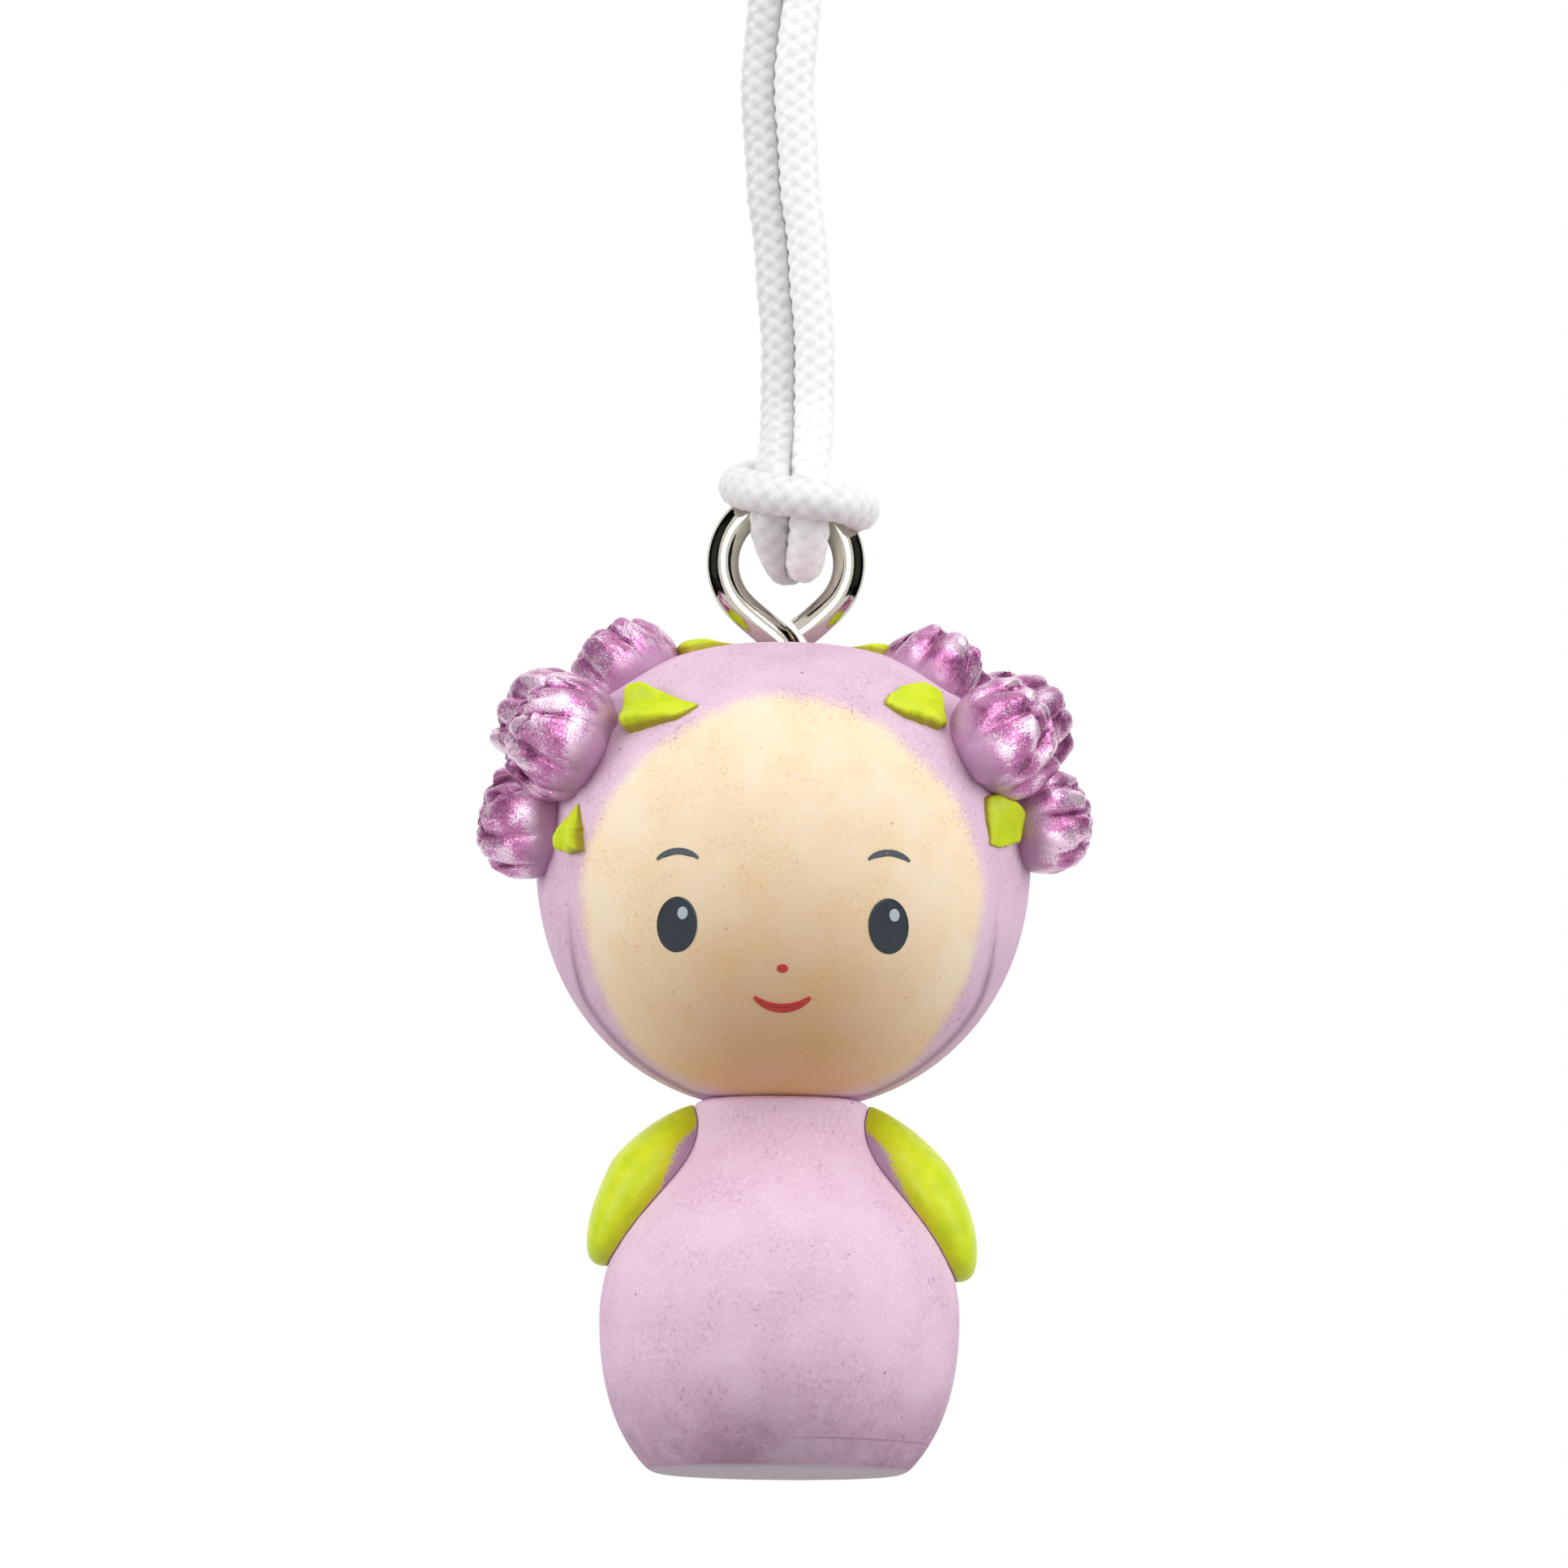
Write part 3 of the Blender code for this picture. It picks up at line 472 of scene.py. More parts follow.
bump = node(tree, "ShaderNodeBump", {"Strength": 0.25, "Distance": 0.02 * MM, "Height": wave})
give(tree, shader, {"Base Color": colour, "Normal": bump})
print("finish:", nylon.name)

# %% [markdown]
# ## The braid
# The braid could be ten thin cords wound and crossed, but they would be heavy and would cut each other. A
# single tube that swells where a bundle lies on top looks the same. Geometry Nodes suit it, because the
# pattern follows the path: one family of bundles climbs to the right and one to the left, a cell where they
# cross has one on top, and the next cell has the other. The two slants, as whole numbers and remainders, give
# the height of each bundle, and the higher one shows.

# %% Braid tree
RISE_OVER = 0.55  # of a bundle that lies on top, as a share of its own dome
LEVEL_LUMP = 0.75  # the lump's height that keeps the cord's radius

braid, given = geometry_tree("braided_cord", Radius="Float", Bundles="Float", Lay="Float", Relief="Float",
                             Sides="Int", Step="Float", Finish="Material")
path = node(braid, "GeometryNodeMeshToCurve", {"Mesh": given["Geometry"]})
even = node(braid, "GeometryNodeResampleCurve", {"Curve": path, "Length": given["Step"]}, mode="LENGTH")
reached = node(braid, "GeometryNodeSplineParameter")
even = node(braid, "GeometryNodeStoreNamedAttribute",
            {"Geometry": even, "Name": "along", "Value": reached.outputs["Length"]})
ring = node(braid, "GeometryNodeCurvePrimitiveCircle",
            {"Resolution": given["Sides"], "Radius": given["Radius"]})
ring = node(braid, "GeometryNodeStoreNamedAttribute",
            {"Geometry": ring.outputs["Curve"], "Name": "around", "Value": reached.outputs["Factor"]})
tube = node(braid, "GeometryNodeCurveToMesh", {"Curve": even, "Profile Curve": ring, "Fill Caps": True})
along = node(braid, "GeometryNodeInputNamedAttribute", {"Name": "along"})
around = node(braid, "GeometryNodeInputNamedAttribute", {"Name": "around"})
turned = node(braid, "ShaderNodeMath", {0: around, 1: given["Bundles"]}, operation="MULTIPLY")
climb = node(braid, "ShaderNodeMath", {0: along, 1: given["Lay"]}, operation="DIVIDE")
climbed = node(braid, "ShaderNodeMath", {0: climb, 1: given["Bundles"]}, operation="MULTIPLY")
slants = [node(braid, "ShaderNodeMath", {0: turned, 1: climbed}, operation=way)
          for way in ("ADD", "SUBTRACT")]
places = [node(braid, "ShaderNodeMath", {0: slant}, operation="FRACT") for slant in slants]
counts = [node(braid, "ShaderNodeMath", {0: slant}, operation="FLOOR") for slant in slants]
domes = []
for place in places:
    half_turn = node(braid, "ShaderNodeMath", {0: place, 1: math.pi}, operation="MULTIPLY")
    domes.append(node(braid, "ShaderNodeMath", {0: half_turn}, operation="SINE"))
cell = node(braid, "ShaderNodeMath", {0: counts[0], 1: counts[1]}, operation="ADD")
odd = node(braid, "ShaderNodeMath", {0: cell, 1: 2.0}, operation="FLOORED_MODULO")
over = node(braid, "ShaderNodeMath", {0: odd, 1: -2 * RISE_OVER, 2: RISE_OVER}, operation="MULTIPLY_ADD")
under = node(braid, "ShaderNodeMath", {0: over, 1: -1.0}, operation="MULTIPLY")
right = node(braid, "ShaderNodeMath", {0: domes[1], 1: over, 2: domes[0]}, operation="MULTIPLY_ADD")
left = node(braid, "ShaderNodeMath", {0: domes[0], 1: under, 2: domes[1]}, operation="MULTIPLY_ADD")
top = node(braid, "ShaderNodeMath", {0: right, 1: left}, operation="MAXIMUM")
lump = node(braid, "ShaderNodeMath", {0: top, 1: 1 + RISE_OVER}, operation="DIVIDE")
is_right = node(braid, "FunctionNodeCompare", {"A": right, "B": left}, operation="GREATER_THAN")
shown = node(braid, "GeometryNodeSwitch", {"Switch": is_right, "False": places[1], "True": places[0]},
             input_type="FLOAT")
tube = node(braid, "GeometryNodeStoreNamedAttribute", {"Geometry": tube, "Name": "lump", "Value": lump})
tube = node(braid, "GeometryNodeStoreNamedAttribute", {"Geometry": tube, "Name": "bundle", "Value": shown})
depth = node(braid, "ShaderNodeMath", {0: lump, 1: LEVEL_LUMP}, operation="SUBTRACT")
offset = node(braid, "ShaderNodeMath", {0: depth, 1: given["Relief"]}, operation="MULTIPLY")
normal = node(braid, "GeometryNodeInputNormal")
moved = node(braid, "ShaderNodeVectorMath", {0: normal, "Scale": offset}, operation="SCALE")
tube = node(braid, "GeometryNodeSetPosition", {"Geometry": tube, "Offset": moved})
finish_tree(braid, tube, given["Finish"])
print("tree:", braid.name)

# %% [markdown]
# ## The cord
# The tree runs along the route. The cord is one soft piece: its upper end stays with the hanging point and
# its hitch turns with the doll. Here it rides on no body and stays where it is made.

# %% Cord
BRAID_BUNDLES = 5.0  # in each direction
BRAID_LAY = 3.2 * MM  # length of one turn of a bundle
BRAID_RELIEF = 0.1 * MM
BRAID_SIDES = 72
BRAID_STEP = 0.08 * MM

cord_mesh = grown("cord", line_mesh("cord_route", cord_route), braid, Radius=CORD_DIAMETER / 2,
                  Bundles=BRAID_BUNDLES, Lay=BRAID_LAY, Relief=BRAID_RELIEF, Sides=BRAID_SIDES,
                  Step=BRAID_STEP, Finish=nylon)
cord_nodes = ("cord_left_strand", "cord_right_strand", "cord_hitch")
cord = add_piece(cord_mesh, nylon, cord_nodes, None)
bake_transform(cord)

# %% [markdown]
# ## Nickel plate
# The screw eye is bent from drawn steel wire and plated with nickel, a warm grey metal polished bright. A
# mirror shows only what is round it, so its dark and bright lines come from the studio, at the end. Its own
# surface adds a slight unevenness of the plating, which blurs them here and there.

# %% Nickel plate
nickel, tree, shader = new_finish("polished_nickel_plate", {"Base Color": linear("C6C1B4"), "Metallic": 1.0})
place = node(tree, "ShaderNodeTexCoord").outputs["Object"]
cloudy = node(tree, "ShaderNodeTexNoise", {"Vector": place, "Scale": 1 / (0.5 * MM), "Detail": 3.0})
rough = node(tree, "ShaderNodeMapRange", {"Value": cloudy, "To Min": 0.05, "To Max": 0.1})
bump = node(tree, "ShaderNodeBump", {"Strength": 0.25, "Distance": 0.02 * MM, "Height": cloudy})
give(tree, shader, {"Roughness": rough, "Normal": bump})
print("finish:", nickel.name)

# %% [markdown]
# ## The screw eye
# A wire worker bends the eye from one wire: the shank rises from the head, goes round in a ring, and the cut
# end stops beside the shank. A path swept by a circle is just that. A small tree sweeps it, and reads how
# thick the wire is at each point, so that the cut end is crimped round.

# %% Screw eye
EYE_RADIUS = 2.48 * MM  # to the middle of the wire
EYE_OPENING = math.radians(35.0)
EYE_Z = -LOOP_LENGTH - EYE_RADIUS
HEAD_TOP_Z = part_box("head")[1].z
RING_POINTS = 120
EYE_BEND = 0.38 * EYE_RADIUS  # how far the ring's ends pull on the bends below them
SHANK_DEPTH = 1.5 * MM  # that the wire goes on inside the head
EYE_END = Vector((0.8 * MM, 0, -2.6 * MM))  # where the cut end starts to round off, from the eye's centre
END_SLOPE = Vector((-1, 0, -0.75)).normalized()
# How far past that place, and the share of the radius there
CUT_ROUND = ((0.12 * MM, 0.96), (0.22 * MM, 0.84), (0.28 * MM, 0.62))


def bezier(start, pull, push, end, steps):
    """Points along a cubic Bezier curve, both ends included."""
    start, pull, push, end = (Vector(p) for p in (start, pull, push, end))
    return [start * (1 - t) ** 3 + pull * (3 * t * (1 - t) ** 2) + push * (3 * t * t * (1 - t)) + end * t ** 3
            for t in np.linspace(0, 1, steps + 1)]


def eye_line():
    """The wire's middle from inside the head to its cut end, from the eye's centre. The inner points of its
    bends are given."""
    left, right = math.pi + EYE_OPENING, -EYE_OPENING
    low = HEAD_TOP_Z - EYE_Z
    angles = np.linspace(left, right, RING_POINTS)
    ring = [Vector((EYE_RADIUS * math.cos(a), 0, EYE_RADIUS * math.sin(a))) for a in angles]
    rising = Vector((math.sin(EYE_OPENING), 0, -math.cos(EYE_OPENING)))
    leg = bezier((0, 0, low), (0, 0, low + 0.45 * EYE_BEND), ring[0] + rising * EYE_BEND, ring[0], 30)
    falling = Vector((-rising.x, 0, rising.z))
    end = bezier(ring[-1], ring[-1] + falling * EYE_BEND * 0.5, EYE_END - END_SLOPE * EYE_BEND * 0.4,
                 EYE_END, 24)
    shank = [Vector((0, 0, low - SHANK_DEPTH))]
    return shank + leg[:-1] + ring + end[1:] + [EYE_END + END_SLOPE * past for past, _ in CUT_ROUND]


wire = [p + Vector((0, 0, EYE_Z)) for p in eye_line()]
print("wire:", len(wire), "points")

# %% Wire sweep
WIRE_SIDES = 48
SHARP_FROM = math.radians(40)

sweep, given = geometry_tree("drawn_wire", Radius="Float", Sides="Int", Finish="Material")
path = node(sweep, "GeometryNodeMeshToCurve", {"Mesh": given["Geometry"]})
ring = node(sweep, "GeometryNodeCurvePrimitiveCircle",
            {"Resolution": given["Sides"], "Radius": given["Radius"]})
bar = node(sweep, "GeometryNodeCurveToMesh",
           {"Curve": path, "Profile Curve": ring.outputs["Curve"], "Fill Caps": True})
finish_tree(sweep, bar, given["Finish"])

wire_mesh = line_mesh("wire_route", wire)
add_mark(wire_mesh, "radius", [1.0] * (len(wire) - len(CUT_ROUND)) + [share for _, share in CUT_ROUND])
eye_mesh = grown("screw_eye_wire", wire_mesh, sweep, Radius=WIRE_RADIUS, Sides=WIRE_SIDES,
                 Finish=nickel)
eye_mesh.set_sharp_from_angle(angle=SHARP_FROM)
add_piece(eye_mesh, nickel, ("screw_eye",))

# %% [markdown]
# ## Sprayed coats
# Body, hood and face are sprayed with chalky acrylics, lilac and cream. Such a coat is matte and slightly
# mottled where it is thinner, with pinholes where air escaped, pale dust, and worn grains in patches. The
# same patterns serve both colours, so they are made once. All of them read Object coordinates, so their
# sizes are real millimetres.

# %% Sprayed coats
MOTTLE_SIZE = 2.2 * MM
GRAIN_SIZE = 0.16 * MM
PINHOLE_SPACING = 0.7 * MM


def paint_grounds(tree):
    """Patterns that every sprayed coat has: its place, mottling, fine grain and pinholes."""
    place = node(tree, "ShaderNodeTexCoord").outputs["Object"]
    mottle = node(tree, "ShaderNodeTexNoise", {"Vector": place, "Scale": 1 / MOTTLE_SIZE, "Detail": 5.0})
    grain = node(tree, "ShaderNodeTexNoise", {"Vector": place, "Scale": 1 / GRAIN_SIZE, "Detail": 3.0})
    cells = node(tree, "ShaderNodeTexVoronoi", {"Vector": place, "Scale": 1 / PINHOLE_SPACING})
    near = node(tree, "ShaderNodeMapRange",
                {"Value": cells.outputs["Distance"], "From Min": 0.1, "From Max": 0.06})
    some = node(tree, "ShaderNodeSeparateColor", {"Color": cells.outputs["Color"]})
    kept = node(tree, "ShaderNodeMapRange", {"Value": some.outputs["Red"], "From Min": 0.5, "From Max": 0.95})
    pinholes = node(tree, "ShaderNodeMath", {0: near, 1: kept}, operation="MULTIPLY")
    return place, mottle, grain, pinholes


def coat_colour(tree, mottle, grain, pinholes, thin, full, dust, hole):
    """A coat's colour: thinner and fuller patches, pale dust, darker pinholes and patches of worn grains."""
    uneven = node(tree, "ShaderNodeMapRange", {"Value": mottle, "From Min": 0.32, "From Max": 0.68})
    coat = node(tree, "ShaderNodeMix", {"Factor": uneven, "A": linear(thin), "B": linear(full)},
                data_type="RGBA")
    dusty = node(tree, "ShaderNodeMapRange",
                 {"Value": grain, "From Min": 0.55, "From Max": 0.75, "To Max": 0.5})
    coat = node(tree, "ShaderNodeMix", {"Factor": dusty, "A": coat, "B": linear(dust)}, data_type="RGBA")
    patchy = node(tree, "ShaderNodeMapRange",
                  {"Value": mottle, "From Min": 0.58, "From Max": 0.42, "To Max": 0.5})
    worn = node(tree, "ShaderNodeMapRange",
                {"Value": grain, "From Min": 0.43, "From Max": 0.27, "To Max": patchy})
    spots = node(tree, "ShaderNodeMath", {0: pinholes, 1: worn}, operation="MAXIMUM")
    return node(tree, "ShaderNodeMix", {"Factor": spots, "A": coat, "B": linear(hole)}, data_type="RGBA")


def lilac_coat(tree, grounds):
    """The lilac coat's colour."""
    return coat_colour(tree, *grounds, "E1BCD5", "E9C8DE", "F7E6F1", "967090")


def finish_coat(tree, shader, colour, grain):
    """Links a coat's colour, and gives it a matte roughness and a fine grain."""
    rough = node(tree, "ShaderNodeMapRange", {"Value": grain, "To Min": 0.68, "To Max": 0.88})
    bump = node(tree, "ShaderNodeBump", {"Strength": 0.5, "Distance": 0.025 * MM, "Height": grain})
    give(tree, shader, {"Base Color": colour, "Roughness": rough, "Normal": bump})


print("sprayed coats ready")

# %% [markdown]
# ## Body paint
# The body has the lilac coat alone. Its colour is painted darker towards the foot, in a noisy pattern, as
# painted shade, one scratch runs part of the way round, and the flat underside is painted paler, as painted
# light from below.

# %% Body paint
BASE_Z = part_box("body")[0].z
SCRATCH_Z = BASE_Z + 1.15 * MM
FOOT_SHADE_TOP = BASE_Z + 4.8 * MM
FOOT_SHADE_FULL = BASE_Z + 0.3 * MM

lilac, tree, shader = new_finish("matte_lilac_acrylic")
place, *grounds = paint_grounds(tree)
coat = lilac_coat(tree, grounds)
parts = node(tree, "ShaderNodeSeparateXYZ", {"Vector": place})
# painted shade: the coat darkens towards the foot, in a noisy pattern
foot = node(tree, "ShaderNodeMapRange",
            {"Value": parts.outputs["Z"], "From Min": FOOT_SHADE_TOP, "From Max": FOOT_SHADE_FULL},
            interpolation_type="SMOOTHSTEP")
painted_shade = node(tree, "ShaderNodeTexNoise",
            {"Vector": place, "Scale": 1 / (3 * MM), "Detail": 6.0, "Roughness": 0.7})
painted_shade = node(tree, "ShaderNodeMapRange",
            {"Value": painted_shade, "From Min": 0.35, "From Max": 0.6, "To Min": 0.15, "To Max": 0.58})
marks = node(tree, "ShaderNodeMath", {0: foot, 1: painted_shade}, operation="MULTIPLY")
off_line = node(tree, "ShaderNodeMath", {0: parts.outputs["Z"], 1: SCRATCH_Z}, operation="SUBTRACT")
off_line = node(tree, "ShaderNodeMath", {0: off_line}, operation="ABSOLUTE")
line = node(tree, "ShaderNodeMapRange", {"Value": off_line, "From Min": 0.07 * MM, "From Max": 0.02 * MM})
part_way = node(tree, "ShaderNodeMapRange",
                {"Value": parts.outputs["X"], "From Min": -3 * MM, "From Max": 2 * MM, "To Max": 0.6})
scratch = node(tree, "ShaderNodeMath", {0: line, 1: part_way}, operation="MULTIPLY")
marks = node(tree, "ShaderNodeMath", {0: marks, 1: scratch}, operation="MAXIMUM")
# the painted shade and the real scratch take one darker colour
coat = node(tree, "ShaderNodeMix", {"Factor": marks, "A": coat, "B": linear("8A5A78")}, data_type="RGBA")
# painted light: the flat underside is painted paler
under = node(tree, "ShaderNodeMapRange",
             {"Value": parts.outputs["Z"], "From Min": BASE_Z + 0.2 * MM, "From Max": BASE_Z + 0.02 * MM})
coat = node(tree, "ShaderNodeMix", {"Factor": under, "A": coat, "B": linear("F7E6F1")}, data_type="RGBA")
finish_coat(tree, shader, coat, grounds[1])
print("finish:", lilac.name)

# %% [markdown]
# ## The turned body
# The body is a lathe form: one outline, spun round an axis. The tree takes the outline as a line of points,
# wraps a grid round the Z axis and reads each row's radius and height from the outline. A slow noise on the
# radius leaves the faint rings of the turning tool. The outline is the part's: a round foot, a full belly and
# a long slope to the neck, whose top is dished for the head.

# %% Turning tree
WELD = 0.002 * MM  # closes the seam and the poles

turning, given = geometry_tree("turned_form", Sides="Int", Rows="Int", Depth="Float", Spacing="Float",
                               Finish="Material")
outline = node(turning, "GeometryNodeMeshToCurve", {"Mesh": given["Geometry"]})
sides = node(turning, "ShaderNodeMath", {0: given["Sides"], 1: 1.0}, operation="ADD")
grid = node(turning, "GeometryNodeMeshGrid",
            {"Size X": 1.0, "Size Y": 1.0, "Vertices X": given["Rows"], "Vertices Y": sides})
spot = node(turning, "ShaderNodeSeparateXYZ", {"Vector": node(turning, "GeometryNodeInputPosition")})
share = node(turning, "ShaderNodeMath", {0: spot.outputs["X"], 1: 0.5}, operation="ADD")
turn = node(turning, "ShaderNodeMath", {0: spot.outputs["Y"], 1: 2 * math.pi}, operation="MULTIPLY")
there = node(turning, "GeometryNodeSampleCurve", {"Curves": outline, "Factor": share}, mode="FACTOR")
there = node(turning, "ShaderNodeSeparateXYZ", {"Vector": there.outputs["Position"]})
row = node(turning, "ShaderNodeMath", {0: there.outputs["Z"], 1: given["Spacing"]}, operation="DIVIDE")
rings = node(turning, "ShaderNodeTexNoise", {"W": row, "Scale": 1.0, "Detail": 1.0}, noise_dimensions="1D")
cut = node(turning, "ShaderNodeMath", {0: rings.outputs[0], 1: 0.5}, operation="SUBTRACT")
cut = node(turning, "ShaderNodeMath", {0: cut, 1: given["Depth"]}, operation="MULTIPLY")
reach = node(turning, "ShaderNodeMath", {0: there.outputs["X"], 1: cut}, operation="ADD")
reach = node(turning, "ShaderNodeMath", {0: reach, 1: 0.0}, operation="MAXIMUM")
wide = [node(turning, "ShaderNodeMath", {0: turn}, operation=way) for way in ("COSINE", "SINE")]
wide = [node(turning, "ShaderNodeMath", {0: reach, 1: way}, operation="MULTIPLY") for way in wide]
round_spot = node(turning, "ShaderNodeCombineXYZ", {"X": wide[0], "Y": wide[1], "Z": there.outputs["Z"]})
spun = node(turning, "GeometryNodeSetPosition", {"Geometry": grid.outputs["Mesh"], "Position": round_spot})
spun = node(turning, "GeometryNodeMergeByDistance", {"Geometry": spun, "Distance": WELD})
finish_tree(turning, spun, given["Finish"])
print("tree:", turning.name)

# %% Turned body
HEAD_Z = -35.69 * MM  # the head's widest level
HEAD_RADIUS = 9.72 * MM
HEAD_RISE = 8.3 * MM
HEAD_DROP = 10.07 * MM
CROWN_FULLNESS = 2.3  # 2 is an ellipse, and more is fuller
CHIN_FULLNESS = 2.15
NECK_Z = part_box("body")[1].z
NECK_RADIUS = 3.4 * MM
BODY_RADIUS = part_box("body")[1].x
BASE_RADIUS = 4.5 * MM
BELLY_HEIGHT = 6.0 * MM
NECK_ROUND = 0.25 * MM
DISH_CLEARANCE = 0.05 * MM  # between the head and the dish under it
BODY_SIDES = 160
BODY_ROWS = 240
RING_DEPTH = 0.015 * MM  # of the turning tool's marks
RING_SPACING = 0.45 * MM


def head_halves(level):
    """How far the head reaches, and how full it is, on the side of its widest level that a level lies."""
    return np.where(level > 0, HEAD_RISE, HEAD_DROP), np.where(level > 0, CROWN_FULLNESS, CHIN_FULLNESS)


def head_radius_at(level):
    """The head's radius at a level above or below its widest one."""
    reach, power = head_halves(level)
    return HEAD_RADIUS * (1 - np.clip(np.abs(level) / reach, 0, 1) ** power) ** (1 / power)


def body_outline():
    """(radius, 0, height) from the base's centre round to the middle of the dish under the head. The inner
    points of the curves are given: a small eased corner at the foot and a slope hollow at the neck."""
    corner = bezier((BASE_RADIUS, 0, 0), (BASE_RADIUS + 0.35 * MM, 0, 0),
                    (BASE_RADIUS + 0.55 * MM, 0, 0.1 * MM), (BASE_RADIUS + 0.75 * MM, 0, 0.3 * MM), 10)
    under = bezier(corner[-1], corner[-1] + Vector((0.65 * MM, 0, 0.72 * MM)),
                   (BODY_RADIUS, 0, BELLY_HEIGHT - 3.4 * MM), (BODY_RADIUS, 0, BELLY_HEIGHT), 40)
    top = NECK_Z - BASE_Z - NECK_ROUND
    over = bezier((BODY_RADIUS, 0, BELLY_HEIGHT), (BODY_RADIUS, 0, BELLY_HEIGHT + 4.4 * MM),
                  (NECK_RADIUS, 0, top - 2.7 * MM), (NECK_RADIUS, 0, top), 60)
    rim = [Vector((NECK_RADIUS - NECK_ROUND * (1 - math.cos(a)), 0, top + NECK_ROUND * math.sin(a)))
           for a in np.radians((30, 60, 90))]
    dish = []
    for radius in np.linspace(NECK_RADIUS - 0.3 * MM, 0, 12):
        level = -HEAD_DROP * (1 - (radius / HEAD_RADIUS) ** CHIN_FULLNESS) ** (1 / CHIN_FULLNESS)
        dish.append(Vector((radius, 0, HEAD_Z + level - BASE_Z - DISH_CLEARANCE)))
    flat = [Vector((r, 0, 0)) for r in np.linspace(0, BASE_RADIUS, 12)]
    return [p + Vector((0, 0, BASE_Z)) for p in flat[:-1] + corner[:-1] + under + over[1:] + rim + dish]


body_mesh = grown("turned_body", line_mesh("body_outline", body_outline()), turning, Sides=BODY_SIDES,
                  Rows=BODY_ROWS, Depth=RING_DEPTH, Spacing=RING_SPACING, Finish=lilac)
outward(body_mesh)
add_piece(body_mesh, lilac, ("body",))

# %% [markdown]
# ## Head paint
# The head was sprayed lilac, then cream was sprayed through a mask over the face. The mask stood off the
# surface, most at the brow, so the border is a grainy band and not a line: the cream thins out with the
# distance from the mask's outline, and a fine noise decides which grains stick. Below, the cream runs on to
# the neck, and its lower middle is painted warmer and darker, as painted shade towards the chin. Hood and
# face take the same paint, so it goes on across the seam between them, and an attribute tells where dark
# purple painted shade lies along the seam's groove, mottled by the grain.

# %% Cream through a mask
FACE_CENTRE_Z = -37.44 * MM
MASK_HALF_WIDTH = 7.8 * MM
MASK_RISE = 7.25 * MM
MASK_DROP = 8.75 * MM
MASK_ASIDE = -0.04 * MM
BROW_FULLNESS = 1.75
JAW_FULLNESS = 2.05


def cream_amount(tree, place):
    """How much cream sticks at a place, from 0 to 1."""
    parts = node(tree, "ShaderNodeSeparateXYZ", {"Vector": place})
    aside = node(tree, "ShaderNodeMath", {0: parts.outputs["X"], 1: MASK_ASIDE}, operation="SUBTRACT")
    aside = node(tree, "ShaderNodeMath", {0: aside, 1: MASK_HALF_WIDTH}, operation="DIVIDE")
    above = node(tree, "ShaderNodeMath", {0: parts.outputs["Z"], 1: FACE_CENTRE_Z}, operation="SUBTRACT")
    upper = node(tree, "ShaderNodeMath", {0: above, 1: 0.0}, operation="GREATER_THAN")
    reach = node(tree, "ShaderNodeMapRange", {"Value": upper, "To Min": MASK_DROP, "To Max": MASK_RISE})
    power = node(tree, "ShaderNodeMapRange",
                 {"Value": upper, "To Min": JAW_FULLNESS, "To Max": BROW_FULLNESS})
    above = node(tree, "ShaderNodeMath", {0: above, 1: reach}, operation="DIVIDE")
    squares = []
    for part in (aside, above):
        size = node(tree, "ShaderNodeMath", {0: part}, operation="ABSOLUTE")
        squares.append(node(tree, "ShaderNodeMath", {0: size, 1: power}, operation="POWER"))
    total = node(tree, "ShaderNodeMath", {0: squares[0], 1: squares[1]}, operation="ADD")
    root = node(tree, "ShaderNodeMath", {0: 1.0, 1: power}, operation="DIVIDE")
    share = node(tree, "ShaderNodeMath", {0: total, 1: root}, operation="POWER")
    inside = node(tree, "ShaderNodeMath", {0: 1.0, 1: share}, operation="SUBTRACT")
    blur = node(tree, "ShaderNodeMapRange", {"Value": above, "From Min": -0.6, "From Max": 0.8,
                                             "To Min": 0.035, "To Max": 0.07})
    inside = node(tree, "ShaderNodeMath", {0: inside, 1: blur}, operation="DIVIDE")
    specks = node(tree, "ShaderNodeTexNoise",
                  {"Vector": place, "Scale": 1 / (0.08 * MM), "Detail": 3.0, "Roughness": 0.75})
    patches = node(tree, "ShaderNodeTexNoise", {"Vector": place, "Scale": 1 / (1.4 * MM), "Detail": 2.0})
    level = node(tree, "ShaderNodeMath", {0: specks, 1: 4.0, 2: inside}, operation="MULTIPLY_ADD")
    level = node(tree, "ShaderNodeMath", {0: patches, 1: 1.2, 2: level}, operation="MULTIPLY_ADD")
    stuck = node(tree, "ShaderNodeMapRange", {"Value": level, "From Min": 2.1, "From Max": 3.1})
    before = node(tree, "ShaderNodeMapRange",
                  {"Value": parts.outputs["Y"], "From Min": -1.6 * MM, "From Max": -3.2 * MM})
    return node(tree, "ShaderNodeMath", {0: stuck, 1: before}, operation="MULTIPLY")


print("mask:", round(2 * MASK_HALF_WIDTH / MM, 1), "mm wide")

# %% Hood and face paint
CHIN_SHADE_TOP = FACE_CENTRE_Z + 5 * MM


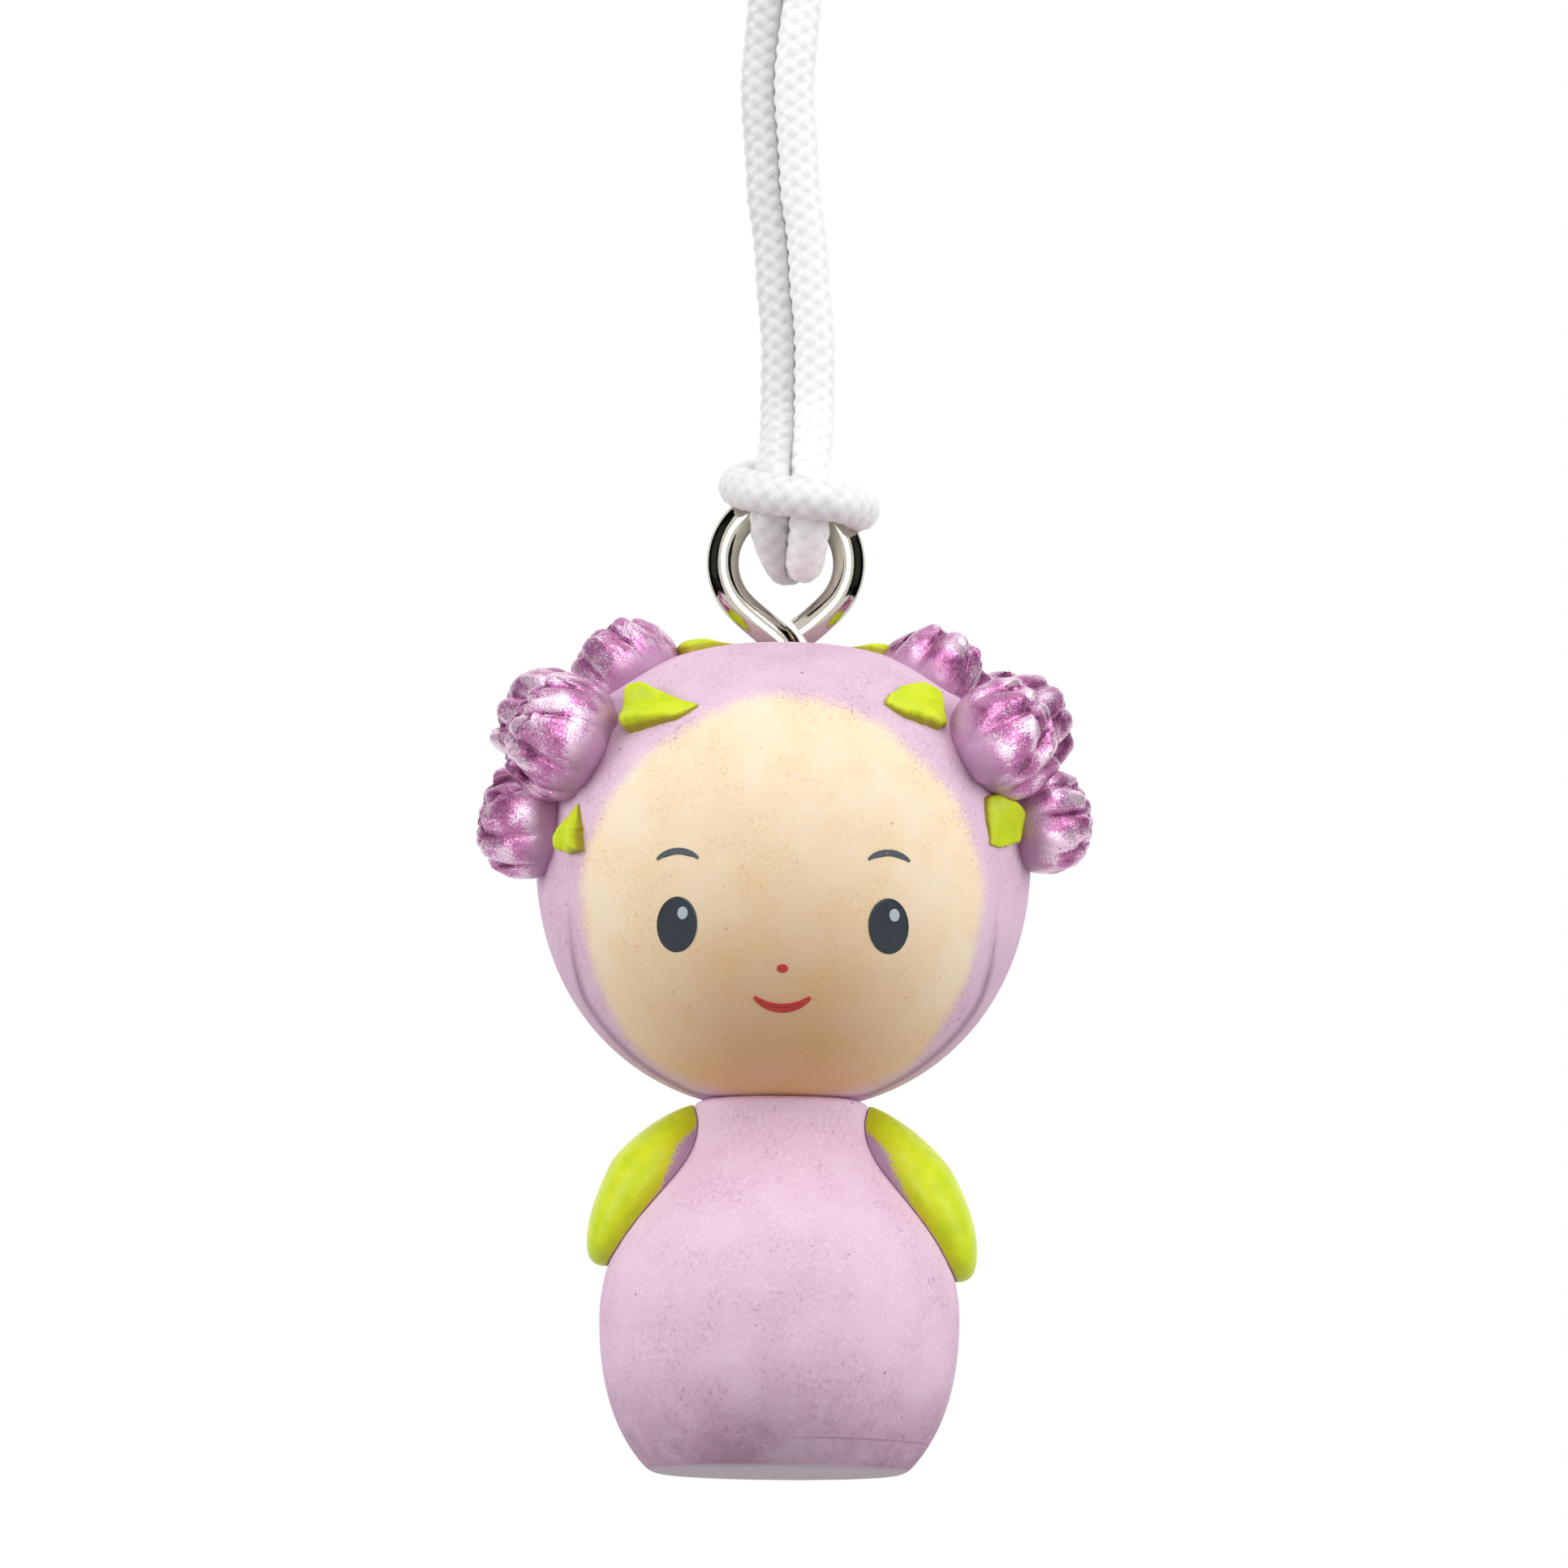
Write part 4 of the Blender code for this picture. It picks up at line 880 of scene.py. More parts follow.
def head_paint(name):
    """Lilac acrylic with cream sprayed over the face."""
    made, tree, shader = new_finish(name)
    place, *grounds = paint_grounds(tree)
    cream = coat_colour(tree, *grounds, "FCE2BA", "FFEDD0", "FFF5E4", "DDB27E")
    parts = node(tree, "ShaderNodeSeparateXYZ", {"Vector": place})
    # painted shade: the cream turns warmer and darker towards the chin
    low = node(tree, "ShaderNodeMapRange",
               {"Value": parts.outputs["Z"], "From Min": CHIN_SHADE_TOP, "From Max": FACE_CENTRE_Z - MASK_DROP},
               interpolation_type="SMOOTHSTEP")
    aside = node(tree, "ShaderNodeMath", {0: parts.outputs["X"]}, operation="ABSOLUTE")
    inner = node(tree, "ShaderNodeMapRange",
                 {"Value": aside, "From Min": 7 * MM, "From Max": 2 * MM, "To Min": 0.12, "To Max": 0.68})
    chin_shade = node(tree, "ShaderNodeMath", {0: low, 1: inner}, operation="MULTIPLY")
    cream = node(tree, "ShaderNodeMix", {"Factor": chin_shade, "A": cream, "B": linear("E0A055")},
                 data_type="RGBA")
    coat = node(tree, "ShaderNodeMix",
                {"Factor": cream_amount(tree, place), "A": lilac_coat(tree, grounds), "B": cream},
                data_type="RGBA")
    # painted shade: dark purple along the groove, mottled by the grain
    groove = node(tree, "ShaderNodeAttribute", attribute_name="groove").outputs["Fac"]
    painted_shade = node(tree, "ShaderNodeMath", {0: grounds[1], 1: 0.8, 2: groove}, operation="MULTIPLY_ADD")
    painted_shade = node(tree, "ShaderNodeMapRange",
                {"Value": painted_shade, "From Min": 0.55, "From Max": 1.4, "To Max": 0.55})
    coat = node(tree, "ShaderNodeMix", {"Factor": painted_shade, "A": coat, "B": linear("8A638A")}, data_type="RGBA")
    finish_coat(tree, shader, coat, grounds[1])
    print("finish:", name)
    return made


hood_paint = head_paint("matte_lilac_hood_acrylic")
face_paint = head_paint("matte_cream_face_acrylic")

# %% [markdown]
# ## The hood
# Head and hood are one ball, a little fuller at the crown than a globe, with a recess for the face. A ball
# cut by a boolean shades badly along the cut, so the skin is built from the cut itself: its rings start at
# the recess, roll over the lip and then widen along great circles until they close at the back of the head.
# The lip is round below, where the groove shows, and nearly sharp at the brow, where paint fills it. The
# screw eye was driven into the crown, which leaves a shallow dimple.

# %% Head form
TINY = 1e-9  # keeps a division at the axis from failing


def head_surface(directions):
    """Points of the head's surface along directions from the middle of its widest level."""
    directions = directions / np.linalg.norm(directions, axis=-1, keepdims=True)
    z = directions[..., 2]
    reach, power = head_halves(z)
    across = np.hypot(directions[..., 0], directions[..., 1]) / HEAD_RADIUS
    size = (across ** power + (np.abs(z) / reach) ** power) ** (-1 / power)
    return directions * size[..., None]


def head_normals(points):
    """The head's outward directions at points of its surface, from the middle of its widest level."""
    z = points[..., 2]
    reach, power = head_halves(z)
    across = np.maximum(np.hypot(points[..., 0], points[..., 1]), TINY)
    side = across ** (power - 1) / HEAD_RADIUS ** power / across
    rise = np.sign(z) * np.abs(z) ** (power - 1) / reach ** power
    made = np.stack([points[..., 0] * side, points[..., 1] * side, rise], -1)
    return made / np.linalg.norm(made, axis=-1, keepdims=True)


print("head:", round((HEAD_RISE + HEAD_DROP) / MM, 2), "mm tall")

# %% Face outline
FACE_HALF_WIDTH = 8.35 * MM
FACE_RISE = 7.3 * MM
FACE_DROP = 8.1 * MM
FACE_FULLNESS = 2.6  # of the outline's lower half
JAW_SHARE = 0.955  # the jaw stays within this share of the head's radius
OUTLINE_EASING = 6  # passes that round the corners where the jaw cuts in
RINGS_ROUND = 256
LIP_BELOW = 0.22 * MM
LIP_ABOVE = 0.004 * MM

angles = np.linspace(0, 2 * math.pi, RINGS_ROUND, endpoint=False)
open_below = smoothstep(0.15, -0.45, np.sin(angles))  # 1 where the groove shows
lip = LIP_ABOVE + (LIP_BELOW - LIP_ABOVE) * open_below


def face_outline(share=1.0):
    """x and z of the face's outline, from the middle of the head's widest level, drawn in to a share."""
    wide, high = np.cos(angles), np.sin(angles)
    power = np.where(high > 0, 2.0, FACE_FULLNESS)
    reach = np.where(high > 0, FACE_RISE, FACE_DROP)
    x = np.sign(wide) * np.abs(wide) ** (2 / power) * FACE_HALF_WIDTH
    z = np.sign(high) * np.abs(high) ** (2 / power) * reach
    jaw = JAW_SHARE * head_radius_at(z + FACE_CENTRE_Z - HEAD_Z)
    x = np.where(high > 0, x, np.clip(x, -jaw, jaw))
    for _ in range(OUTLINE_EASING):
        x = 0.5 * x + 0.25 * (np.roll(x, 1) + np.roll(x, -1))
    return share * x, share * z + FACE_CENTRE_Z - HEAD_Z


def outline_on_head():
    """The face's outline as points of the head's surface."""
    x, z = face_outline()
    return np.stack([x, -np.sqrt(head_radius_at(z) ** 2 - x ** 2), z], -1)


print("outline:", RINGS_ROUND, "points")

# %% Hood
GROOVE_SPREAD = 0.5 * MM  # how far the painted shade reaches from the groove
RECESS_DEPTH = 0.4 * MM  # its floor, in front of the head's axis
RECESS_SHARE = 0.97  # the floor's outline, as a share of the face's
RECESS_WALL = 1.0 * MM  # depth at which the wall leaves the lip's line
LIP_STEPS = 9
HOOD_RINGS = 120
RING_START = 0.004  # share of the way to the back at which the rings after the lip begin
SCREW_DIMPLE = 0.42 * MM
DIMPLE_SPREAD = 1.0 * MM


def hood_rings():
    """Rings from the recess's floor over the lip to the back of the head."""
    x, z = face_outline()
    edge = outline_on_head()
    normal = head_normals(edge)
    start = edge / np.linalg.norm(edge, axis=1, keepdims=True)
    back = np.array([0.0, 1.0, 0.0])
    arc = np.arccos(np.clip(start @ back, -1, 1))[:, None]
    away = np.cross(normal, np.cross(back, normal))
    away /= np.linalg.norm(away, axis=1, keepdims=True)
    floor = np.stack([x * RECESS_SHARE, np.full_like(x, -RECESS_DEPTH), z * RECESS_SHARE], -1)
    rings = [floor * np.array([0.5, 1.0, 0.5]), floor, edge - normal * RECESS_WALL]
    for turn in np.radians(np.linspace(90, 0, LIP_STEPS)):
        rings.append(edge + away * (lip * (1 - math.sin(turn)))[:, None]
                     - normal * (lip * (1 - math.cos(turn)))[:, None])
    first = lip[:, None] / (HEAD_RADIUS * arc)
    for share in np.linspace(0, 1, HOOD_RINGS)[1:-1]:
        reached = (first + RING_START + (1 - first - RING_START) * share) * arc
        directions = (np.sin(arc - reached) * start + np.sin(reached) * back) / np.sin(arc)
        rings.append(head_surface(directions))
    return np.array(rings)


def groove_shade(rings):
    """How much painted shade lies at points of rings near the groove."""
    away = np.linalg.norm(rings - outline_on_head(), axis=-1)
    return np.exp(-(away / GROOVE_SPREAD) ** 2) * open_below


rings = hood_rings()
grooves = groove_shade(rings)
from_axis = np.hypot(rings[..., 0], rings[..., 1])
rings[..., 2] -= SCREW_DIMPLE * np.exp(-(from_axis / DIMPLE_SPREAD) ** 2) * (rings[..., 2] > 0)
hood_mesh = skin("hood", rings + np.array([0, 0, HEAD_Z]), groove=grooves)
add_piece(hood_mesh, hood_paint, ("head",))

# %% [markdown]
# ## The face dome
# The dome continues the ball's surface inside the hood's lip, a hair lower, and its edge is rounded off into
# the groove. Its rings are drawn-in copies of the outline, closer together near the edge where it bends.

# %% Face dome
FACE_GAP = 0.02 * MM  # between the dome and the hood's lip, where the groove shows
FACE_SUNK = 0.05 * MM  # how much lower than the hood the dome's lower edge lies
FACE_BACK = RECESS_DEPTH + 0.2 * MM
FACE_RINGS = 70


def face_level(x, z):
    """How far the face stands before the head's axis, at x and a height from the head's widest level."""
    low = smoothstep(0.3, -0.9, (z + HEAD_Z - FACE_CENTRE_Z) / FACE_RISE)
    return np.sqrt(np.maximum(head_radius_at(z) ** 2 - x ** 2, 0)) - FACE_SUNK * low


def face_rings():
    """Rings from the dome's middle out to its edge, over it and back to the glued side."""
    whole = 1 - FACE_GAP * open_below / FACE_HALF_WIDTH
    inner = 1 - lip / FACE_RISE
    rings = []
    for share in np.linspace(0.01, 1, FACE_RINGS):
        x, z = face_outline(share * inner * whole)
        rings.append(np.stack([x, -face_level(x, z), z], -1))
    for turn in np.radians(np.linspace(0, 90, LIP_STEPS))[1:]:
        x, z = face_outline((inner + (1 - inner) * math.sin(turn)) * whole)
        rings.append(np.stack([x, -face_level(x, z) + lip * (1 - math.cos(turn)), z], -1))
    x, z = face_outline(whole)
    rings.append(np.stack([x, np.full_like(x, -FACE_BACK), z], -1))
    return np.array(rings)


rings = face_rings()
face_mesh = skin("face_dome", rings + np.array([0, 0, HEAD_Z]), groove=groove_shade(rings))
add_piece(face_mesh, face_paint, ("face",))

# %% [markdown]
# ## Printed features
# The features are pad-printed: a soft stamp lays a thin film of ink on the dome. The face is a plain one, as
# on any wooden doll: two round dark eyes with a glint, short brows, a small nose and a curved mouth. Each
# mark is a closed film that follows the dome, so it has a true edge, and its ink is a little glossier than
# the paint, with faint gaps where the stamp touched lightly.

# %% Printing inks
def ink(name, hex_colour, worn_colour):
    """Printing ink: smooth, half matte, with small light gaps."""
    made, tree, shader = new_finish(name, {"Roughness": 0.45})
    place = node(tree, "ShaderNodeTexCoord").outputs["Object"]
    light = node(tree, "ShaderNodeTexNoise", {"Vector": place, "Scale": 1 / (0.12 * MM), "Detail": 3.0})
    gaps = node(tree, "ShaderNodeMapRange",
                {"Value": light, "From Min": 0.58, "From Max": 0.78, "To Max": 0.7})
    colour = node(tree, "ShaderNodeMix", {"Factor": gaps, "A": linear(hex_colour), "B": linear(worn_colour)},
                  data_type="RGBA")
    give(tree, shader, {"Base Color": colour})
    return made


navy = ink("navy_printing_ink", "13232E", "2C4150")
grey = ink("grey_printing_ink", "4A5358", "8C8C86")
red = ink("red_printing_ink", "C4302A", "DB6A55")
glint = ink("pale_printing_ink", "B9C6CC", "D8DDDD")
print("inks: navy, grey, red and pale")

# %% Printed features
INK_FILM = 0.025 * MM
SPOT_POINTS = 48  # round a spot
SPOT_RINGS = 10
STROKE_POINTS = 32  # along a stroke
STROKE_RINGS = 5
STROKE_TAPER = 0.12  # radians of a half wave that are left off at a stroke's ends
INNERMOST = 0.02  # share of the outline in the first ring
EYE_ASIDE = 4.1 * MM
EYE_LEVEL = -3.5 * MM  # levels are from the head's widest one
EYE_SIZE = (0.78 * MM, 1.05 * MM)  # half width and half height
GLINT_SHIFT = (0.22 * MM, 0.42 * MM)
GLINT_SIZE = (0.2 * MM, 0.24 * MM)
GLINT_LIFT = 2.0  # films of ink, as it lies on the eye's
NOSE_LEVEL = -5.2 * MM
NOSE_SIZE = (0.22 * MM, 0.16 * MM)
# A stroke: its level, half its thickness, and the four points of its curve in millimetres, aside and up
BROW = (-1.0 * MM, 0.13 * MM, ((-0.8, 0), (-0.4, 0.4), (0.4, 0.4), (0.8, 0)))
MOUTH = (-6.5 * MM, 0.17 * MM, ((-1.1, 0.25), (-0.5, -0.3), (0.5, -0.3), (1.1, 0.25)))


def film(name, rings, paint, lift=1.0):
    """A closed film of ink through rings of (x, z) places on the dome, from the head's widest level."""
    rings = np.asarray(rings, float)
    x, z = rings[..., 0], rings[..., 1]
    depth = face_level(x, z)
    over = np.stack([x, -depth - lift * INK_FILM, z + HEAD_Z], -1)
    under = np.stack([x, -depth + INK_FILM, z + HEAD_Z], -1)
    mesh = skin(name, np.concatenate([over, under[::-1]]))
    mesh.materials.append(paint)
    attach(linked(name, mesh), "doll")


def spot_rings(x, z, half_width, half_height):
    """Rings of a filled oval."""
    turn = np.linspace(0, 2 * math.pi, SPOT_POINTS, endpoint=False)
    around = np.stack([half_width * np.cos(turn), half_height * np.sin(turn)], -1)
    return [around * share + np.array([x, z]) for share in np.linspace(INNERMOST, 1, SPOT_RINGS)]


def stroke_rings(x, level, half_thickness, curve):
    """Rings of a tapered stroke: drawn-in copies of its outline towards its middle line."""
    points = [(x + aside * MM, 0, level + up * MM) for aside, up in curve]
    line = np.array([tuple(p)[::2] for p in bezier(*points, STROKE_POINTS)])
    ahead = np.gradient(line, axis=0)
    across = np.stack([-ahead[:, 1], ahead[:, 0]], -1) / np.linalg.norm(ahead, axis=1, keepdims=True)
    wave = np.sin(np.linspace(STROKE_TAPER, math.pi - STROKE_TAPER, len(line)))
    reach = half_thickness * np.sqrt(wave)[:, None]
    return [np.concatenate([line + across * reach * share, (line - across * reach * share)[::-1]])
            for share in np.linspace(INNERMOST, 1, STROKE_RINGS)]


for name, side in (("left", -1), ("right", 1)):
    x = side * EYE_ASIDE
    film(f"eye_{name}", spot_rings(x, EYE_LEVEL, *EYE_SIZE), navy)
    film(f"glint_{name}", spot_rings(x + GLINT_SHIFT[0], EYE_LEVEL + GLINT_SHIFT[1], *GLINT_SIZE),
         glint, GLINT_LIFT)
    film(f"brow_{name}", stroke_rings(x, *BROW), grey)
film("nose", spot_rings(0, NOSE_LEVEL, *NOSE_SIZE), red)
film("mouth", stroke_rings(0, *MOUTH), red)
print("printed features: eyes with glints, brows, nose and mouth")

# %% [markdown]
# ## Lime paint
# Leaves and arms are brushed with a bright yellow-green enamel that stays glossier than the spray coats. It
# dries with a fine orange peel, has soft streaks, is yellower where it is thin, and stops short of the side
# walls, which show lilac below, painted darker than the lilac coat as painted shade. Attributes on the
# pieces tell where: one how far up its wall a point lies, for the paint's ragged edge, and one how near a
# leaf's rim it is, where the paint turns a darker olive.

# %% Lime paint
lime, tree, shader = new_finish("brushed_lime_enamel", {"Specular IOR Level": 0.3})
place = node(tree, "ShaderNodeTexCoord").outputs["Object"]
strokes = node(tree, "ShaderNodeTexNoise",
               {"Vector": place, "Scale": 1 / (0.9 * MM), "Detail": 3.0, "Distortion": 0.6})
tint = node(tree, "ShaderNodeMapRange", {"Value": strokes, "From Min": 0.3, "From Max": 0.7})
coat = node(tree, "ShaderNodeMix", {"Factor": tint, "A": linear("C6DC10"), "B": linear("DDEA22")},
            data_type="RGBA")
crown = node(tree, "ShaderNodeAttribute", attribute_name="crown").outputs["Fac"]
thin = node(tree, "ShaderNodeMapRange", {"Value": crown, "From Min": 0.9, "From Max": 0.5, "To Max": 0.7})
thin = node(tree, "ShaderNodeMath", {0: thin, 1: tint}, operation="MULTIPLY")
coat = node(tree, "ShaderNodeMix", {"Factor": thin, "A": coat, "B": linear("E2C11C")}, data_type="RGBA")
ragged = node(tree, "ShaderNodeTexNoise",
              {"Vector": place, "Scale": 1 / (0.13 * MM), "Detail": 4.0, "Roughness": 0.75})
edge = node(tree, "ShaderNodeMath", {0: ragged, 1: 0.5, 2: crown}, operation="MULTIPLY_ADD")
# darker olive towards a leaf's rim
rim = node(tree, "ShaderNodeAttribute", attribute_name="rim").outputs["Fac"]
olive_rim = node(tree, "ShaderNodeMath", {0: ragged, 1: 0.6, 2: rim}, operation="MULTIPLY_ADD")
olive_rim = node(tree, "ShaderNodeMapRange", {"Value": olive_rim, "From Min": 0.6, "From Max": 0.9, "To Max": 0.75})
coat = node(tree, "ShaderNodeMix", {"Factor": olive_rim, "A": coat, "B": linear("A08A22")}, data_type="RGBA")
# painted shade: the bare wall is a darker lilac than the coat
bare = node(tree, "ShaderNodeMapRange", {"Value": edge, "From Min": 0.8, "From Max": 0.7})
coat = node(tree, "ShaderNodeMix", {"Factor": bare, "A": coat, "B": linear("BC99B7")}, data_type="RGBA")
rough = node(tree, "ShaderNodeMapRange", {"Value": bare, "To Min": 0.36, "To Max": 0.8})
peel = node(tree, "ShaderNodeTexNoise", {"Vector": place, "Scale": 1 / (0.16 * MM), "Detail": 2.0})
relief = node(tree, "ShaderNodeMath", {0: strokes, 1: 2.0, 2: peel}, operation="MULTIPLY_ADD")
bump = node(tree, "ShaderNodeBump", {"Strength": 0.5, "Distance": 0.03 * MM, "Height": relief})
give(tree, shader, {"Base Color": coat, "Roughness": rough, "Normal": bump})
print("finish:", lime.name)

# %% [markdown]
# ## The arms
# Each arm is a plump leaf glued to the body's side, with a rounded shoulder, a domed back and a rounded tip.
# Its width and its height change by rule from the shoulder to the tip, and every cross-section bends round
# the body, so it is worked out row by row in cylinder coordinates, with an outer and an inner line joined as
# one ring. The brush missed a strip of the wall next to the body, below the shoulder, so the attribute for
# the paint's edge dips there.

# %% Arms
ARM_TOP = 0.13 * MM  # below the neck's rim
ARM_HALF_WIDTH = 2.32 * MM
ARM_EDGE = 0.06 * MM
ARM_FULLEST = 0.36  # where an arm is thickest, as a share of its drop
SHOULDER_ROUND = 0.12  # shares of the drop over which an end is rounded
TIP_ROUND = 0.14
GLUE = 0.03 * MM
BARE_MOST = 0.6  # how far up an arm's wall the lime paint is missing, where that is widest
BARE_WIDEST = 0.27  # shares of the drop where that is, and where the paint reaches the body again
BARE_END = 0.95
PAINT_EDGE = 0.85  # added to the height up the wall, so that the paint reaches the body elsewhere
DOME_FULLNESS = 2.3
ARM_ROWS = 96
ARM_POINTS = 57  # across an arm's back
# name: side, drop from shoulder to tip, thickness
ARMS = {"left": (-1, 6.34 * MM, 2.43 * MM), "right": (1, 6.86 * MM, 2.33 * MM)}
outline_points = np.array([tuple(p) for p in body_outline()])
is_wall = (outline_points[:, 0] > NECK_RADIUS - 0.01 * MM) & (outline_points[:, 2] > BASE_Z + MM)
side_wall = outline_points[is_wall]


def arm_fullness(s):
    """How thick an arm is at a share of its drop, as a share of its thickest place. The powers are set for a
    full shoulder, a nearly straight back and a blunt tip."""
    if s < ARM_FULLEST:
        return math.sin(math.pi / 2 * (s / ARM_FULLEST) ** 0.75)
    past = (s - ARM_FULLEST) / (1 - ARM_FULLEST)
    return (1 - 0.72 * past ** 1.2) * math.sqrt(1 - past ** 20)


def arm_ends(s):
    """Rounds the arm's two ends: 1 along it, falling to nothing at the shoulder and the tip."""
    from_end = min(s / SHOULDER_ROUND, (1 - s) / TIP_ROUND, 1.0)
    return math.sqrt(1 - (1 - from_end) ** 2)


def arm_mesh(name, side, drop, thickness):
    """One arm, from the shoulder to its tip."""
    v = np.sin(np.linspace(-math.pi / 2, math.pi / 2, ARM_POINTS))
    dome = (1 - np.abs(v) ** DOME_FULLNESS) ** (1 / DOME_FULLNESS)
    rings, crowns = [], []
    for s in 0.5 - 0.5 * np.cos(np.linspace(0.04, math.pi - 0.02, ARM_ROWS)):
        z = NECK_Z - ARM_TOP - drop * s
        radius = np.interp(z, side_wall[:, 2], side_wall[:, 0]) + GLUE
        width = ARM_HALF_WIDTH * math.sin(math.pi * (0.1 + 0.75 * s)) * arm_ends(s)
        rise = ARM_EDGE + (thickness - ARM_EDGE) * arm_fullness(s) * dome
        turn = v * width / radius
        direction = np.stack([side * np.cos(turn), np.sin(turn), np.zeros_like(turn)], -1)
        over = direction * (radius + rise)[:, None] + np.array([0, 0, z])
        under = direction * radius + np.array([0, 0, z])
        rings.append(np.concatenate([over, under[::-1]]))
        bare = BARE_MOST * float(smoothstep(0.0, BARE_WIDEST, s) * smoothstep(BARE_END, BARE_WIDEST, s))
        crowns.append(np.concatenate([dome - bare + PAINT_EDGE, np.zeros_like(dome)]))
    return skin(name, rings, crown=crowns)


for name, sizes in ARMS.items():
    add_piece(arm_mesh(f"leaf_arm_{name}", *sizes), lime, (f"arm_{name}",))

# %% [markdown]
# ## The leaves
# The leaves under the flowers were cut by hand and pressed on the hood before it was painted, so no two are
# alike. Each is given by the corners of its outline, as angles on the ball, and by the two corners that its
# midrib runs between. The outline's corners are eased and its rim wanders a little, drawn-in copies of it
# make the rings, and every point is pushed out to the hood's surface along its own direction, so the leaf
# wraps the ball. A valley runs along the midrib, and the leaf thins towards its tip.

# %% Leaf outlines
# name: side, thickness, the midrib's two corners, and the outline's corners: degrees from the side to the
# front, and above level
LEAVES = {
    "left_crest": (-1, 0.5 * MM, (1, 4), (
        (-24, 61), (0, 60), (26, 61.5), (30, 68), (8, 77.5), (-20, 69))),
    "left_brow": (-1, 0.85 * MM, (1, 5), (
        (46.5, 24.6), (41.6, 30.4), (40.6, 36.4), (45.2, 37.4), (54.4, 34.8), (66.5, 31.9), (61.6, 28.1),
        (53.3, 26.1))),
    "left_temple": (-1, 0.75 * MM, (3, 0), (
        (34.4, 8.6), (36.4, 3.5), (37.3, -2.7), (33.1, -3.2), (30.0, -2.4), (29.2, 0.6), (31.4, 4.6))),
    "right_crest": (1, 0.45 * MM, (1, 4), (
        (-20, 61), (0, 60), (22, 61.5), (24, 66), (6, 73.5), (-18, 66))),
    "right_brow": (1, 0.8 * MM, (5, 1), (
        (61.8, 33), (58.6, 36.3), (52.6, 39.0), (46.0, 39.4), (42.4, 35.6), (43.6, 27.6), (46.9, 26.4),
        (56.8, 29.2))),
    "right_temple": (1, 0.7 * MM, (4, 7), (
        (36.0, 10.5), (32.5, 11.5), (25.5, 10.0), (20.1, 8.2), (19.5, 4.0), (22.5, 1.0), (31.3, -0.9),
        (34.4, -0.4), (36.0, 5.6))),
}

print("leaves:", sorted(LEAVES))

# %% Leaves
LEAF_SINK = 0.2 * MM  # how far a leaf's back is pressed into the hood
LEAF_FOLD = 0.45  # how much lower a leaf is along its midrib
LEAF_RAGGED = 0.22  # degrees that the rim wanders
RAGGED_WAVES = (7, 12, 19)  # round the rim
LEAF_TAPER = 0.6  # how much lower it is at its tip
LEAF_RINGS = 26
LEAF_POINTS = 120  # round the outline
EASING = 3  # passes that round the outline's corners
EDGE_POWER = 9  # more gives a squarer edge
PAINT_LOW = 0.72  # the mark for the paint's edge at the foot of a leaf's wall, and what it gains at the top
PAINT_GAIN = 0.3


def head_direction(side, azimuth, elevation):
    """A direction out of the head: azimuth turns from the side to the front, elevation rises from level."""
    a, e = np.radians(azimuth), np.radians(elevation)
    return np.stack([side * np.cos(a) * np.cos(e), -np.sin(a) * np.cos(e), np.sin(e)], -1)


def leaf_outline(corners):
    """Points evenly along a closed outline, its corners eased and its rim wandering a little."""
    closed = np.array(list(corners) + [corners[0]])
    reached = np.concatenate([[0], np.cumsum(np.linalg.norm(np.diff(closed, axis=0), axis=1))])
    spots = np.linspace(0, reached[-1], LEAF_POINTS, endpoint=False)
    line = np.stack([np.interp(spots, reached, closed[:, k]) for k in (0, 1)], -1)
    for _ in range(EASING):
        line = 0.5 * line + 0.25 * (np.roll(line, 1, 0) + np.roll(line, -1, 0))
    way = line - line.mean(0)
    turn = np.linspace(0, 2 * math.pi, LEAF_POINTS, endpoint=False)
    wander = sum(np.sin(waves * turn + waves * waves) for waves in RAGGED_WAVES) / len(RAGGED_WAVES)
    return line + LEAF_RAGGED * wander[:, None] * way / np.linalg.norm(way, axis=1)[:, None]


def leaf_mesh(name, side, thickness, fold, corners):
    """One leaf, laid on the hood."""
    line = leaf_outline(corners)
    middle = line.mean(0)
    level = np.array([math.cos(math.radians(middle[1])), 1.0])  # degrees across count for less higher up
    start, end = np.array(corners[fold[0]]), np.array(corners[fold[1]])
    along = (end - start) * level
    across = np.array([-along[1], along[0]]) / np.linalg.norm(along)
    rings, crowns, rims = [], [], []
    reach = np.abs(((line - start) * level) @ across).max()
    for share in np.sin(np.linspace(0.03, math.pi / 2, LEAF_RINGS)):
        spots = middle + (line - middle) * share
        seat = head_surface(head_direction(side, spots[:, 0], spots[:, 1]))
        outward_way = head_normals(seat)
        away = np.abs(((spots - start) * level) @ across) / reach
        wall = (1 - share ** EDGE_POWER) ** 0.5
        reached = ((spots - start) * level) @ along / (along @ along)
        folded = 1 - LEAF_FOLD * (1 - smoothstep(0.0, 0.7, away))
        rise = thickness * wall * folded * (1 - LEAF_TAPER * smoothstep(0.2, 1, reached))
        rings.append(seat + outward_way * rise[:, None])
        crowns.append(np.full(len(line), PAINT_LOW + PAINT_GAIN * wall))
        rims.append(np.full(len(line), 1 - wall))
    for share in (1.0, 0.4):
        spots = middle + (line - middle) * share
        seat = head_surface(head_direction(side, spots[:, 0], spots[:, 1]))
        rings.append(seat - head_normals(seat) * LEAF_SINK)
        crowns.append(np.zeros(len(line)))
        rims.append(np.ones(len(line)))
    return skin(name, np.array(rings) + np.array([0, 0, HEAD_Z]), crown=crowns, rim=rims)


for key, shape in LEAVES.items():
    add_piece(leaf_mesh(f"hood_leaf_{key}", *shape), lime, (f"leaf_{key}",))
